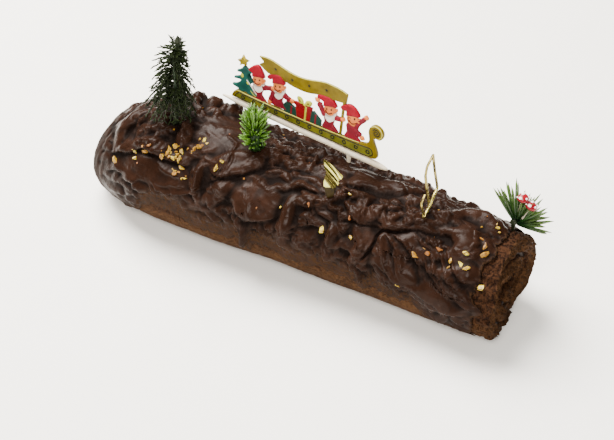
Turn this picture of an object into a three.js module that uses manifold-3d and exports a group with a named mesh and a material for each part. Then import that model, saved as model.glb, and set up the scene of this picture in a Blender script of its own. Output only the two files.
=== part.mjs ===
// Yule log cake: a chocolate Swiss roll under a thick chocolate coat with chopped nuts,
// dressed with plastic decorations that stand on pegs pushed into the cake.
// Millimetres, +Z up, +X along the log towards its cut end, -Y towards its front.

import * as THREE from "three";
import { mergeVertices } from "three/addons/utils/BufferGeometryUtils.js";
import Module from "manifold-3d";

const wasm = await Module();
wasm.setup();

// Roll
const LOG_LENGTH = 300;
const ROLL_WIDTH = 86;
const ROLL_HEIGHT = 77;
const ROLL_TAPER = 0.108;
const CENTRE_SHARE = 0.475;
const BOTTOM_BULGE = 1.1;
const SHEET_SHARE = 0.31;
const FILLING_SHARE = 0.09;
const STEPS_PER_TURN = 18;
const SPIRAL_STEPS = 39;
const ROLL_END_ANGLE = -158;
const ROUNDED_FROM = -90;
const ROUND_POWER = 2.2;
const END_DROP = 28;

// Coat
const COAT = 3.0;
const GAP = 0.3;
const COAT_ARC = 134;
const COAT_COLUMNS = 32;
const COAT_SPACING = 6.5;
const COAT_END = -178;
const CRUMB_EDGE = 144;

// Decorations
const FIR_HEIGHT = 66;
const SMALL_FIR_HEIGHT = 35;
const BAR_LENGTH = 139;
const BAR_THICK = 4.4;
const PLAQUE_THICK = 3.2;
const STAR_WIRE = 1.3;
const NEEDLE_LENGTH = 29;
const CAP_RADIUS = 4.3;

const rad = THREE.MathUtils.degToRad;

// ---------- small tools ----------

function seeded(seed) {
  let state = seed;
  return () => {
    state = (state * 1664525 + 1013904223) % 4294967296;
    return state / 4294967296;
  };
}

function smooth(t) {
  const u = Math.min(1, Math.max(0, t));
  return u * u * (3 - 2 * u);
}

function lattice(i, j, seed) {
  const v = Math.sin(i * 127.1 + j * 311.7 + seed * 74.7) * 43758.5453;
  return v - Math.floor(v);
}

function noise(x, y, seed) {
  const i = Math.floor(x);
  const j = Math.floor(y);
  const u = smooth(x - i);
  const v = smooth(y - j);
  const low = lattice(i, j, seed) * (1 - u) + lattice(i + 1, j, seed) * u;
  const high = lattice(i, j + 1, seed) * (1 - u) + lattice(i + 1, j + 1, seed) * u;
  return (low * (1 - v) + high * v) * 2 - 1;
}

function profile(table, x) {
  const last = table.length - 1;
  if (x <= table[0][0]) return table[0][1];
  if (x >= table[last][0]) return table[last][1];
  let k = 0;
  while (table[k + 1][0] < x) k += 1;
  const t = (x - table[k][0]) / (table[k + 1][0] - table[k][0]);
  return table[k][1] * (1 - t) + table[k + 1][1] * t;
}

function indexed(positions, triangles) {
  const geometry = new THREE.BufferGeometry();
  geometry.setAttribute("position", new THREE.Float32BufferAttribute(positions, 3));
  geometry.setIndex(triangles);
  return geometry;
}

function signedVolume(positions, triangles) {
  const a = new THREE.Vector3();
  const b = new THREE.Vector3();
  const c = new THREE.Vector3();
  let sum = 0;
  for (let k = 0; k < triangles.length; k += 3) {
    a.fromArray(positions, triangles[k] * 3);
    b.fromArray(positions, triangles[k + 1] * 3);
    c.fromArray(positions, triangles[k + 2] * 3);
    sum += a.dot(b.cross(c));
  }
  return sum;
}

// A closed body through a row of rings with the same number of points.
// flat gives the two coordinates in which the end caps are drawn.
function ringBody(rings, flat = (p) => [p[1], p[2]]) {
  const count = rings[0].length;
  const positions = rings.flat(2);
  const triangles = [];
  for (let r = 0; r + 1 < rings.length; r += 1) {
    for (let k = 0; k < count; k += 1) {
      const a = r * count + k;
      const b = r * count + ((k + 1) % count);
      const c = a + count;
      const d = b + count;
      triangles.push(a, b, d, a, d, c);
    }
  }
  for (const end of [0, rings.length - 1]) {
    const outline = rings[end].map((p) => new THREE.Vector2(...flat(p)));
    const clockwise = THREE.ShapeUtils.isClockWise(outline);
    const order = outline.map((_, k) => (clockwise ? count - 1 - k : k));
    const faces = THREE.ShapeUtils.triangulateShape(order.map((k) => outline[k]), []);
    for (const [p, q, s] of faces) {
      const face = [order[p], order[q], order[s]].map((k) => end * count + k);
      if ((end === 0) !== clockwise) face.reverse();
      triangles.push(...face);
    }
  }
  if (signedVolume(positions, triangles) < 0) triangles.reverse();
  return indexed(positions, triangles);
}

function solid(geometry) {
  const plain = geometry.clone();
  plain.deleteAttribute("normal");
  plain.deleteAttribute("uv");
  const merged = mergeVertices(plain, 1e-4);
  return new wasm.Manifold(
    new wasm.Mesh({
      numProp: 3,
      vertProperties: new Float32Array(merged.attributes.position.array),
      triVerts: new Uint32Array(merged.index.array),
    }),
  );
}

function joined(solids) {
  let list = solids;
  while (list.length > 1) {
    const next = [];
    for (let k = 0; k < list.length; k += 2) {
      next.push(k + 1 < list.length ? list[k].add(list[k + 1]) : list[k]);
    }
    list = next;
  }
  return list[0];
}

function mainPiece(body) {
  return body.decompose().sort((a, b) => b.volume() - a.volume())[0];
}

function geometryOf(body) {
  const mesh = mainPiece(body).getMesh();
  const geometry = indexed(Array.from(mesh.vertProperties), Array.from(mesh.triVerts));
  const flat = geometry.toNonIndexed();
  flat.computeVertexNormals();
  return flat;
}

function placed(geometry, matrix) {
  return geometry.clone().applyMatrix4(matrix);
}

// A tapered rod between two points, with a flat-sided round section.
function rod(from, to, r0, r1, sides = 6) {
  const axis = to.clone().sub(from);
  const length = axis.length();
  const shape = new THREE.CylinderGeometry(r1, r0, length, sides, 1);
  shape.translate(0, length / 2, 0);
  const turn = new THREE.Quaternion().setFromUnitVectors(new THREE.Vector3(0, 1, 0), axis.normalize());
  shape.applyQuaternion(turn);
  shape.translate(from.x, from.y, from.z);
  return shape;
}

// ---------- the roll ----------

function taper(x) {
  return 1 - (ROLL_TAPER * x) / (LOG_LENGTH / 2);
}

// The uncut end narrows like a bolster, with its tip low over the table.
function endScale(x, tip) {
  const t = Math.min(1, Math.max(0, (ROUNDED_FROM - x) / (ROUNDED_FROM - tip)));
  return Math.pow(1 - Math.pow(t, ROUND_POWER), 1 / ROUND_POWER);
}

function rollCentre(x) {
  return ROLL_HEIGHT * CENTRE_SHARE * taper(x);
}

function centreLine(x) {
  return rollCentre(x) - END_DROP * (1 - endScale(x, COAT_END));
}

// Outline radius seen from the centre; angle 0 is up and +90 degrees is the front.
function rollRadius(x, angle) {
  const size = taper(x);
  const s = Math.sin(rad(angle));
  const c = Math.cos(rad(angle));
  const centre = rollCentre(x);
  const half = (ROLL_WIDTH / 2) * size;
  const tall = c > 0 ? ROLL_HEIGHT * size - centre : centre * BOTTOM_BULGE;
  const uneven = 1 + 0.012 * Math.sin(x / 31 + rad(angle * 2)) + 0.008 * Math.sin(x / 13 - rad(angle * 3));
  const round = uneven / Math.hypot(s / half, c / tall);
  return c < 0 ? Math.min(round, centre / -c) : round;
}

function rollPoint(x, angle, share, grow = 0) {
  const r = rollRadius(x, angle) * share * endScale(x, COAT_END + 3) + grow;
  return [x, -r * Math.sin(rad(angle)), centreLine(x) + r * Math.cos(rad(angle))];
}

const stepAngle = (k) => ROLL_END_ANGLE - (360 / STEPS_PER_TURN) * k;

// Shares of the outline radius at which the rolled sheet starts and ends, from the tail inwards.
const sheetOuter = [];
const sheetInner = [];
for (let k = 0; k <= SPIRAL_STEPS; k += 1) {
  const pressed = smooth((k - STEPS_PER_TURN + 4) / 4);
  const outer = k < STEPS_PER_TURN ? 1 - 0.1 * pressed : sheetInner[k - STEPS_PER_TURN] - FILLING_SHARE;
  const thick = 0.06 + (SHEET_SHARE - 0.06) * smooth(k / 4);
  sheetOuter.push(outer);
  sheetInner.push(Math.max(0.035 + 0.01 * (SPIRAL_STEPS - k), outer - thick));
}

const ROLL_SECTIONS = [-171, -161, -142, -117, -90, -32, 30, 92, 150];

function crumbledEnd(x, angle, share) {
  if (x < LOG_LENGTH / 2) return x;
  return x + 1.5 + 2.2 * Math.sin(rad(angle) * 2 + share * 5) - 4.5 * (1 - share);
}

// A band that runs round the spiral on one face and comes back on the other.
function spiralRing(x, from, to, thereShare, backShare, thereGrow, backGrow) {
  const ring = [];
  for (let k = from; k <= to; k += 1) {
    const edge = crumbledEnd(x, stepAngle(k), thereShare(k));
    ring.push(rollPoint(edge, stepAngle(k), thereShare(k), thereGrow));
  }
  for (let k = to; k >= from; k -= 1) {
    const edge = crumbledEnd(x, stepAngle(k), backShare(k));
    ring.push(rollPoint(edge, stepAngle(k), backShare(k), backGrow));
  }
  return ring;
}

const spongeRings = ROLL_SECTIONS.map((x) =>
  spiralRing(x, 0, SPIRAL_STEPS, (k) => sheetOuter[k], (k) => sheetInner[k], 0, 0),
);

const fillingRings = ROLL_SECTIONS.map((x) =>
  spiralRing(
    x,
    2,
    SPIRAL_STEPS - STEPS_PER_TURN,
    (k) => sheetOuter[k + STEPS_PER_TURN],
    (k) => sheetInner[k],
    GAP * 1.15,
    -GAP * 1.15,
  ),
);

// ---------- the coat ----------

// Lobes of chocolate: place along the log, angle round it, half length, half width,
// turn of the long side from the log's axis, and height over the coat.
const LOBES = [
  { x: -132, angle: 20, long: 17, wide: 6, turn: -38, high: 3.4 },
  { x: -107, angle: 42, long: 12, wide: 5, turn: -8, high: 3.2 },
  { x: -89, angle: 24, long: 9, wide: 5, turn: 78, high: 3.4 },
  { x: -101, angle: 68, long: 24, wide: 11, turn: 6, high: 1.8 },
  { x: -67, angle: 60, long: 11, wide: 4, turn: 70, high: 2.8 },
  { x: -49, angle: 60, long: 12, wide: 6, turn: -50, high: 3.6 },
  { x: -45, angle: 34, long: 20, wide: 9, turn: -30, high: 2.6 },
  { x: -108, angle: -27, long: 8, wide: 8, turn: 0, high: 5.0 },
  { x: -93, angle: -30, long: 7, wide: 6, turn: 0, high: 4.6 },
  { x: -77, angle: -28, long: 7, wide: 6, turn: 0, high: 5.0 },
  { x: -20, angle: 56, long: 17, wide: 11, turn: -10, high: 3.0 },
  { x: -25, angle: 82, long: 6, wide: 9, turn: 0, high: 2.4 },
  { x: 4, angle: 62, long: 5, wide: 15, turn: 0, high: 2.8 },
  { x: 17, angle: 38, long: 12, wide: 4, turn: -20, high: 2.8 },
  { x: 40, angle: 66, long: 6, wide: 15, turn: 8, high: 2.4 },
  { x: 60, angle: 72, long: 6, wide: 13, turn: 12, high: 2.6 },
  { x: 62, angle: 30, long: 22, wide: 8, turn: -12, high: 2.6 },
  { x: 86, angle: 70, long: 17, wide: 10, turn: 20, high: 2.8 },
  { x: 30, angle: -14, long: 28, wide: 7, turn: 4, high: 2.4 },
  { x: 104, angle: 12, long: 24, wide: 9, turn: -6, high: 3.0 },
  { x: 124, angle: 26, long: 10, wide: 7, turn: 20, high: 3.0 },
  { x: 132, angle: 50, long: 14, wide: 5, turn: -16, high: 2.6 },
  { x: 118, angle: 84, long: 15, wide: 10, turn: 24, high: 2.0 },
  { x: 132, angle: -16, long: 18, wide: 6, turn: -6, high: 2.4 },
  { x: -40, angle: -50, long: 26, wide: 8, turn: 12, high: 2.6 },
  { x: 60, angle: -54, long: 30, wide: 8, turn: -8, high: 2.4 },
  { x: 0, angle: -78, long: 14, wide: 9, turn: 60, high: 2.2 },
  { x: 104, angle: -74, long: 13, wide: 8, turn: -60, high: 2.2 },
  { x: -96, angle: -74, long: 18, wide: 9, turn: 40, high: 2.4 },
];

function lobeHeight(x, angle) {
  let sum = 0;
  for (const lobe of LOBES) {
    const dx = x - lobe.x;
    const ds = ((angle - lobe.angle) * Math.PI * 42) / 180;
    const c = Math.cos(rad(lobe.turn));
    const s = Math.sin(rad(lobe.turn));
    const along = (dx * c + ds * s) / lobe.long;
    const across = (ds * c - dx * s) / lobe.wide;
    const away = along * along + across * across;
    sum = Math.max(sum, lobe.high * smooth(1.5 - away * 0.9));
  }
  return sum;
}

function coatThickness(x, angle) {
  const s = (angle * Math.PI * 42) / 180;
  const rolling = 0.9 * noise(x / 19, s / 15, 3);
  const folds = 0.8 * noise(x / 8 + s / 14, s / 7, 11);
  const low = smooth((Math.abs(angle) - 92) / 30);
  return (COAT - 0.4 + rolling + folds + 0.8 * lobeHeight(x, angle)) * (1 - 0.45 * low);
}

function coatPoint(x, angle, extra = 0) {
  const whole = rollRadius(x, angle) + GAP + coatThickness(x, angle);
  const r = whole * endScale(x, COAT_END) + extra;
  return [x, -r * Math.sin(rad(angle)), centreLine(x) + r * Math.cos(rad(angle))];
}

// Height of the coat's lower edge over the table along the front and along the back.
const FRONT_EDGE = [
  [-150, 10], [-128, 12], [-114, 33], [-104, 46], [-90, 48], [-74, 43], [-56, 37], [-40, 40],
  [-30, 42], [-25, 23], [-20, 39], [0, 42], [15, 40], [41, 44], [52, 38], [62, 27], [72, 36],
  [88, 28], [98, 31], [108, 17], [122, 11], [150, 9],
];
const BACK_EDGE = [
  [-150, 10], [-128, 14], [-104, 26], [-80, 19], [-60, 30], [-44, 22], [-20, 31], [4, 20],
  [28, 29], [50, 24], [76, 31], [96, 18], [118, 24], [150, 20],
];

function ragged(table, x, seed) {
  const edge = profile(table, x);
  return Math.max(8.5, edge + 2.2 * noise(x / 5.5, seed, 5) + 1.4 * noise(x / 2.6, seed, 9));
}

function coatBody(extra) {
  const rings = [];
  const straight = COAT_END + 26;
  const places = [];
  for (let k = 5; k >= 1; k -= 1) {
    places.push(straight - (straight - COAT_END) * Math.sin((k / 5.3) * (Math.PI / 2)));
  }
  const rows = Math.round((LOG_LENGTH / 2 + 2 - straight) / COAT_SPACING);
  for (let r = 0; r <= rows; r += 1) {
    places.push(straight + ((LOG_LENGTH / 2 + 2 - straight) * r) / rows);
  }
  for (const x of places) {
    const ring = [];
    for (let k = 0; k <= COAT_COLUMNS; k += 1) {
      ring.push(coatPoint(x, -COAT_ARC + (2 * COAT_ARC * k) / COAT_COLUMNS, extra));
    }
    rings.push(ring);
  }
  return solid(ringBody(rings));
}

// The room that the roll takes inside the coat.
function rollRoom() {
  const places = [...ROLL_SECTIONS, LOG_LENGTH / 2 + 12];
  const rings = places.map((x, row) => {
    const ring = [];
    for (let k = 0; k < STEPS_PER_TURN; k += 1) {
      const point = rollPoint(x, stepAngle(k), sheetOuter[k], GAP * 1.15);
      if (row === 0) point[0] -= GAP * 1.2;
      ring.push(point);
    }
    return ring;
  });
  rings.forEach((ring) => ring.forEach((p) => (p[2] -= p[2] < 1 ? 2 : 0)));
  return solid(ringBody(rings));
}

// Everything below the ragged edge, as a fan of spokes round the foot of the log.
function belowEdge() {
  const spokes = [];
  const step = 5.0;
  const right = LOG_LENGTH / 2 + 20;
  const turn = COAT_END + 60;
  for (let x = right; x > turn; x -= step) {
    spokes.push({ root: [x, 0], way: [0, -1], z: ragged(FRONT_EDGE, x, 1) });
  }
  const rounds = 20;
  for (let k = 0; k <= rounds; k += 1) {
    const a = Math.PI / 2 - (Math.PI * k) / rounds;
    const x = turn - 60 * Math.cos(a);
    const table = k < rounds / 2 ? FRONT_EDGE : BACK_EDGE;
    spokes.push({ root: [turn, 0], way: [-Math.cos(a), -Math.sin(a)], z: ragged(table, x, k * 0.3) });
  }
  for (let x = turn + step; x < right; x += step) {
    spokes.push({ root: [x, 0], way: [0, 1], z: ragged(BACK_EDGE, x, 4) });
  }
  const positions = [];
  const triangles = [];
  const reaches = [0.5, 24, 95];
  spokes.forEach((spoke) => {
    reaches.forEach((reach, j) => {
      const x = spoke.root[0] + spoke.way[0] * reach;
      const y = spoke.root[1] + spoke.way[1] * reach;
      positions.push(x, y, j === 0 ? -8 : spoke.z);
      positions.push(x, y, -20);
    });
  });
  const per = reaches.length * 2;
  const last = spokes.length - 1;
  for (let k = 0; k < last; k += 1) {
    for (let j = 0; j + 1 < reaches.length; j += 1) {
      const a = k * per + j * 2;
      const b = a + 2;
      const c = a + per;
      const d = b + per;
      triangles.push(a, b, d, a, d, c);
      triangles.push(a + 1, d + 1, b + 1, a + 1, c + 1, d + 1);
    }
    const inner = k * per;
    const outer = k * per + per - 2;
    triangles.push(inner, inner + per, inner + per + 1, inner, inner + per + 1, inner + 1);
    triangles.push(outer, outer + 1, outer + per + 1, outer, outer + per + 1, outer + per);
  }
  for (const [k, flip] of [[0, false], [last, true]]) {
    for (let j = 0; j + 1 < reaches.length; j += 1) {
      const a = k * per + j * 2;
      const face = [a, a + 1, a + 3, a, a + 3, a + 2];
      if (flip) face.reverse();
      triangles.push(...face);
    }
  }
  if (signedVolume(positions, triangles) < 0) triangles.reverse();
  return solid(indexed(positions, triangles));
}

// Everything right of the broken edge near the cut end.
function rightOfEdge() {
  const rings = [];
  const columns = 36;
  for (const [reach, back] of [[6, 0], [70, 0], [70, 1], [6, 1]]) {
    const ring = [];
    for (let k = 0; k < columns; k += 1) {
      const angle = (360 * k) / columns;
      const s = Math.sin(rad(angle));
      const c = Math.cos(rad(angle));
      const broken = 3.2 * noise(k / 2.2, 1, 21) + 2.2 * noise(k / 0.9, 2, 22);
      const bare = 7 * smooth(1.3 - Math.abs(angle - 62) / 22);
      const x = back ? LOG_LENGTH / 2 + 30 : CRUMB_EDGE + broken - bare;
      ring.push([x, -reach * s, 36 + reach * c]);
    }
    rings.push(ring);
  }
  const count = columns;
  const positions = rings.flat(2);
  const triangles = [];
  for (let r = 0; r < 4; r += 1) {
    for (let k = 0; k < count; k += 1) {
      const a = r * count + k;
      const b = r * count + ((k + 1) % count);
      const c = ((r + 1) % 4) * count + k;
      const d = ((r + 1) % 4) * count + ((k + 1) % count);
      triangles.push(a, b, d, a, d, c);
    }
  }
  if (signedVolume(positions, triangles) < 0) triangles.reverse();
  return solid(indexed(positions, triangles));
}

// Chopped nuts: place along the log, angle round it and size.
const NUTS = [
  [-130, 71, 4.6], [-116, 60, 4.8], [-115, 56, 4.0], [-110, 52, 4.2], [-95, 53, 4.6], [-92, 51, 4.2],
  [-91, 44, 4.4], [-88, 38, 4.8], [-86, 43, 4.2], [-84, 48, 4.8], [-88, 49, 4.0], [-87, 54, 4.4],
  [-81, 55, 4.0], [-85, 62, 4.2], [-79, 62, 3.4], [-76, 31, 4.6], [-74, 24, 4.4], [-77, 34, 3.4],
  [-54, 39, 3.6], [-56, 43, 3.4],
  [17, 46, 3.2], [32, 62, 4.6], [40, 26, 3.4], [47, 43, 3.4], [52, 60, 3.2], [90, 87, 3.6],
  [96, 55, 6.0], [104, 48, 4.2], [110, 42, 4.6], [120, 50, 4.2], [127, 46, 4.2], [130, 49, 4.4],
  [127, 35, 4.2], [132, 14, 4.6], [135, 21, 4.0],
];

function nutBody(x, angle, size, seed) {
  const draw = seeded(seed * 977 + 13);
  const crumb = new THREE.OctahedronGeometry(size / 2, 0);
  crumb.scale(1.3, 1.0, 0.85);
  crumb.rotateX(draw() * 3);
  crumb.rotateZ(draw() * 6);
  const at = coatPoint(x, angle, size * 0.12);
  crumb.translate(at[0], at[1], at[2]);
  return solid(crumb);
}

// ---------- decorations ----------

function onCoat(x, angle) {
  return new THREE.Vector3(...coatPoint(x, angle));
}

const firFoot = onCoat(-102, 12.5);
const smallFoot = onCoat(-36.6, 11.7);
const leafFoot = onCoat(28, 31);
const starFoot = onCoat(91.5, 26.3);
const sprigFoot = onCoat(141, -32);

const PEG_DEPTH = 10;

function peg(foot, radius, depth = PEG_DEPTH, lift = 2) {
  const low = foot.clone().add(new THREE.Vector3(0, 0, -depth));
  const high = foot.clone().add(new THREE.Vector3(0, 0, lift));
  return rod(low, high, radius, radius, 6);
}

// A flat frond, broad in the middle and bent downwards.
function frond(reach, width, thick, droop) {
  const rings = [];
  for (const [t, w] of [[0, 0.35], [0.6, 1], [1, 0.14]]) {
    const x = reach * t;
    const z = -droop * reach * t * t;
    const half = (width / 2) * w;
    rings.push([[x, -half, z - thick * 0.6], [x, half, z - thick * 0.6], [x, 0, z + thick * 0.6]]);
  }
  return ringBody(rings);
}

// Reach of the fronds, by share of the height, from the foot to the tip.
const FIR_OUTLINE = [[0.1, 17.5], [0.3, 16], [0.45, 14.4], [0.62, 13.6], [0.8, 11.4], [0.93, 8.2]];
const firLean = new THREE.Vector3(6.5, 0.8, FIR_HEIGHT);

function firTree() {
  const draw = seeded(41);
  const tip = firFoot.clone().add(firLean);
  const parts = [solid(rod(firFoot, tip, 1.9, 0.7, 6))];
  const tiers = 6;
  for (let t = 0; t < tiers; t += 1) {
    const share = 0.16 + (0.77 * t) / (tiers - 1);
    const count = t < 4 ? 7 : 6;
    for (let k = 0; k < count; k += 1) {
      const turn = ((k + (t % 2) * 0.5) / count) * Math.PI * 2 + draw() * 0.3;
      const reach = profile(FIR_OUTLINE, share) * (0.92 + 0.16 * draw());
      const shape = frond(reach, 6.6 - 2.6 * share, 1.3, 0.75 - 0.45 * share);
      const matrix = new THREE.Matrix4().makeRotationZ(turn);
      matrix.setPosition(firFoot.clone().addScaledVector(firLean, share));
      parts.push(solid(placed(shape, matrix)));
    }
  }
  return joined(parts);
}

// A short leaf that stands up from its layer like a flame.
function tuft(length, width, lift) {
  const rings = [];
  for (const [t, w] of [[0, 0.5], [0.45, 1], [1, 0.12]]) {
    const x = length * t * Math.cos(lift * t);
    const z = length * t * Math.sin(lift * t);
    const half = (width / 2) * w;
    rings.push([[x, -half, z - 0.3], [x, half, z - 0.3], [x, 0, z + 0.7 * w + 0.2]]);
  }
  return ringBody(rings);
}

function smallFir() {
  const top = smallFoot.clone().add(new THREE.Vector3(0, 0, SMALL_FIR_HEIGHT * 0.8));
  const parts = [solid(rod(smallFoot, top, 3.4, 2.2, 6))];
  const layers = [[0.16, 7, 12.6, 0.35], [0.38, 7, 13.2, 0.6], [0.58, 6, 12.4, 0.95], [0.74, 4, 10.4, 1.3]];
  layers.forEach(([rise, count, length, lift], t) => {
    for (let k = 0; k < count; k += 1) {
      const turn = ((k + (t % 2) * 0.5) / count) * Math.PI * 2 + 0.27 + 0.11 * t;
      const matrix = new THREE.Matrix4().makeRotationZ(turn);
      matrix.setPosition(smallFoot.x, smallFoot.y, smallFoot.z + SMALL_FIR_HEIGHT * rise);
      parts.push(solid(placed(tuft(length, 5.0, lift), matrix)));
    }
  });
  return joined(parts);
}

// The topper stands on a white bar that is held up by two pegs.
const BAR_TURN = rad(-6);
const BAR_TILT = rad(-2);
const barAlong = new THREE.Vector3(
  Math.cos(BAR_TURN) * Math.cos(BAR_TILT),
  Math.sin(BAR_TURN) * Math.cos(BAR_TILT),
  Math.sin(BAR_TILT),
);
const barFront = new THREE.Vector3(Math.sin(BAR_TURN), -Math.cos(BAR_TURN), 0);
const barUp = new THREE.Vector3().crossVectors(barFront, barAlong).negate();
const barStart = new THREE.Vector3(-85.6, 26.3, 90.4);
if (barUp.z < 0) barUp.negate();

function topperPoint(s, h, n = 0) {
  return barStart
    .clone()
    .addScaledVector(barAlong, s)
    .addScaledVector(barUp, h)
    .addScaledVector(barFront, n);
}

function topperBar() {
  const rings = [];
  for (const [share, size] of [[0, 0.25], [0.05, 0.6], [0.12, 1], [0.9, 1], [0.97, 0.9], [1, 0.45]]) {
    const ring = [];
    for (let k = 0; k < 8; k += 1) {
      const a = (k / 8 + 1 / 16) * Math.PI * 2;
      const r = (BAR_THICK / 2) * size;
      ring.push(topperPoint(share * BAR_LENGTH, r * Math.sin(a), r * Math.cos(a)).toArray());
    }
    rings.push(ring);
  }
  const parts = [solid(ringBody(rings))];
  for (const s of [34, 108]) {
    const top = topperPoint(s, -0.5);
    const low = new THREE.Vector3(top.x, top.y, top.z - 24);
    parts.push(solid(rod(low, top, 1.1, 1.7, 6)));
  }
  return joined(parts);
}

const topperFrame = new THREE.Matrix4().makeBasis(barAlong, barUp, barFront);
topperFrame.setPosition(barStart);

function relief(points, thick, lift = 0) {
  const shape = new THREE.Shape(points.map(([s, h]) => new THREE.Vector2(s, h)));
  const plate = new THREE.ExtrudeGeometry(shape, { depth: thick, bevelEnabled: false });
  plate.translate(0, 0, -thick / 2 + lift);
  return solid(placed(plate, topperFrame));
}

function disc(s, h, radius, sides = 8) {
  const points = [];
  for (let k = 0; k < sides; k += 1) {
    const a = ((k + 0.5) / sides) * Math.PI * 2;
    points.push([s + radius * Math.cos(a), h + radius * Math.sin(a)]);
  }
  return points;
}

function limb(from, to, wide) {
  const dx = to[0] - from[0];
  const dy = to[1] - from[1];
  const l = Math.hypot(dx, dy);
  const nx = (-dy / l) * (wide / 2);
  const ny = (dx / l) * (wide / 2);
  return [
    [from[0] - nx, from[1] - ny],
    [to[0] - nx, to[1] - ny],
    [to[0] + nx, to[1] + ny],
    [from[0] + nx, from[1] + ny],
  ];
}

// A plain gnome in a pointed cap: face centre, cap tip, foot span, and hands beside the face.
function gnome(face, tip, left, right, hands, bearded) {
  const [s, h] = face;
  const T = PLAQUE_THICK;
  const parts = [
    relief(disc(s, h, 4.7, 7), T * 0.9),
    relief(
      [
        [s - 4.9, h + 1.6],
        [s + 4.8, h + 3.8],
        [s + 4.4, h + 8],
        [s + tip[0] * 0.3, h + tip[1] + 3],
        [s + tip[0], h + tip[1] + 1.6],
        [s + tip[0] - 0.4, h + tip[1] - 1.4],
        [s + tip[0] * 0.55, h + tip[1] - 1.4],
      ],
      T,
    ),
    relief([[s + left, 8], [s + right, 8], [s + 3.9, h - 3.5], [s - 3.9, h - 3.5]], T * 0.92),
  ];
  if (bearded) {
    parts.push(relief([[s - 4.2, h - 1.5], [s - 2.6, h - 7], [s + 1, h - 9], [s + 4.4, h - 1.5]], T));
  }
  for (const hand of hands) {
    parts.push(relief(limb([s + Math.sign(hand[0]) * 2, h - 5.5], [s + hand[0], h + hand[1]], 3), T * 0.85));
    parts.push(relief(disc(s + hand[0], h + hand[1], 2.1, 5), T * 0.95));
  }
  return parts;
}

function topperPlaque() {
  const T = PLAQUE_THICK;
  const parts = [];
  const deck = [[8.2, 3.2], [12.4, 9.6], [40, 9.2], [75, 9.4], [108, 10.8], [120, 12], [130.6, 9.6], [131, 3.4]];
  deck.push([100, 2.6], [60, 2.6]);
  parts.push(relief(deck, T * 1.15));
  parts.push(relief([[118, 11], [122.4, 15.5], [122, 23], [124, 27.5], [127.2, 24], [126, 16], [130.6, 9]], T));
  parts.push(relief(disc(128.6, 24.6, 5.6, 10), T));
  const fir = [[17, 8], [19.5, 8], [29.2, 11.2], [22.4, 18], [26, 21.4], [21, 24.6], [24, 28], [17.4, 31.5]];
  fir.push([12.8, 24.4], [15, 22.8], [10.4, 18.2], [14, 16.6], [8.9, 12]);
  parts.push(relief(fir, T * 0.95));
  const star = [];
  for (let k = 0; k < 10; k += 1) {
    const a = rad(97 + 36 * k);
    const r = k % 2 ? 2.7 : 5.4;
    star.push([17.4 + r * Math.cos(a), 34.2 + r * Math.sin(a)]);
  }
  parts.push(relief(star, T));
  parts.push(...gnome([30.6, 23.8], [-7.2, 7.4], -4, 6.4, [[11.4, -0.4]], true));
  parts.push(...gnome([48.1, 25.2], [-8.2, 6.4], -6.8, 5.2, [[11.8, -4.6]], true));
  parts.push(...gnome([91, 26.4], [-8.8, 6.8], -6, 5.6, [[-10.2, 3], [11.2, -5]], true));
  parts.push(...gnome([109.4, 26.6], [-9, 7.4], -7.4, 7.6, [[10.2, 5.6], [8.4, -11]], false));
  parts.push(relief([[53.6, 8], [65, 8], [64, 14.6], [55.6, 18.4], [53, 15]], T * 0.9));
  parts.push(relief([[64.6, 8], [75, 8], [76.4, 21.6], [63, 21.4]], T));
  parts.push(relief([[74, 8], [83.4, 8], [83.6, 16.6], [77, 19.6]], T * 0.9));
  parts.push(relief(disc(66, 24, 2.7, 5), T * 0.85));
  parts.push(relief(disc(72.2, 23.8, 2.7, 5), T * 0.85));
  parts.push(relief(limb([100.4, 9], [102.2, 36], 1.8), T * 0.8));
  const banner = [[31.4, 44.6], [40.8, 46.6], [52.4, 44], [64, 42.4], [77, 44.4], [86.4, 46.8], [95.6, 46.8]];
  banner.push([105, 44.8], [104, 37], [94.4, 35.8], [81.4, 34.6], [70, 32.2], [56.6, 33], [48.8, 34.8]);
  banner.push([37, 34.2], [31.4, 37], [34.8, 40.6]);
  parts.push(relief(banner, T * 0.7));
  return joined(parts);
}

// A gold foil leaf: a pleated plate that narrows to a stem.
function goldLeaf() {
  const rows = [[-3, 1.6, 0], [3.6, 2.4, 0], [6, 6.6, -1.4], [12, 9.4, 0.4], [19, 11.6, 1.9], [24.5, 9.4, 0.4], [28, 3.6, -3.4]];
  const across = new THREE.Vector3(0.86, 0.36, -0.36).normalize();
  const up = new THREE.Vector3(-0.1, 0.1, 0.99).normalize();
  const out = new THREE.Vector3().crossVectors(across, up).normalize();
  const pleats = 6;
  const rings = rows.map(([rise, wide, shift]) => {
    const near = [];
    const far = [];
    for (let k = 0; k <= pleats; k += 1) {
      const t = k / pleats - 0.5;
      const fold = (k % 2 ? 0.7 : -0.7) * Math.min(1, wide / 8);
      const notch = rise > 20 ? 1.2 * (k % 2) : 0;
      const at = leafFoot
        .clone()
        .addScaledVector(across, t * wide + shift)
        .addScaledVector(up, rise + notch);
      near.push(at.clone().addScaledVector(out, fold + 0.45).toArray());
      far.unshift(at.clone().addScaledVector(out, fold - 0.45).toArray());
    }
    return [...near, ...far];
  });
  const flat = (p) => {
    const v = new THREE.Vector3(...p);
    return [v.dot(across), v.dot(out)];
  };
  return solid(ringBody(rings, flat));
}

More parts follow.
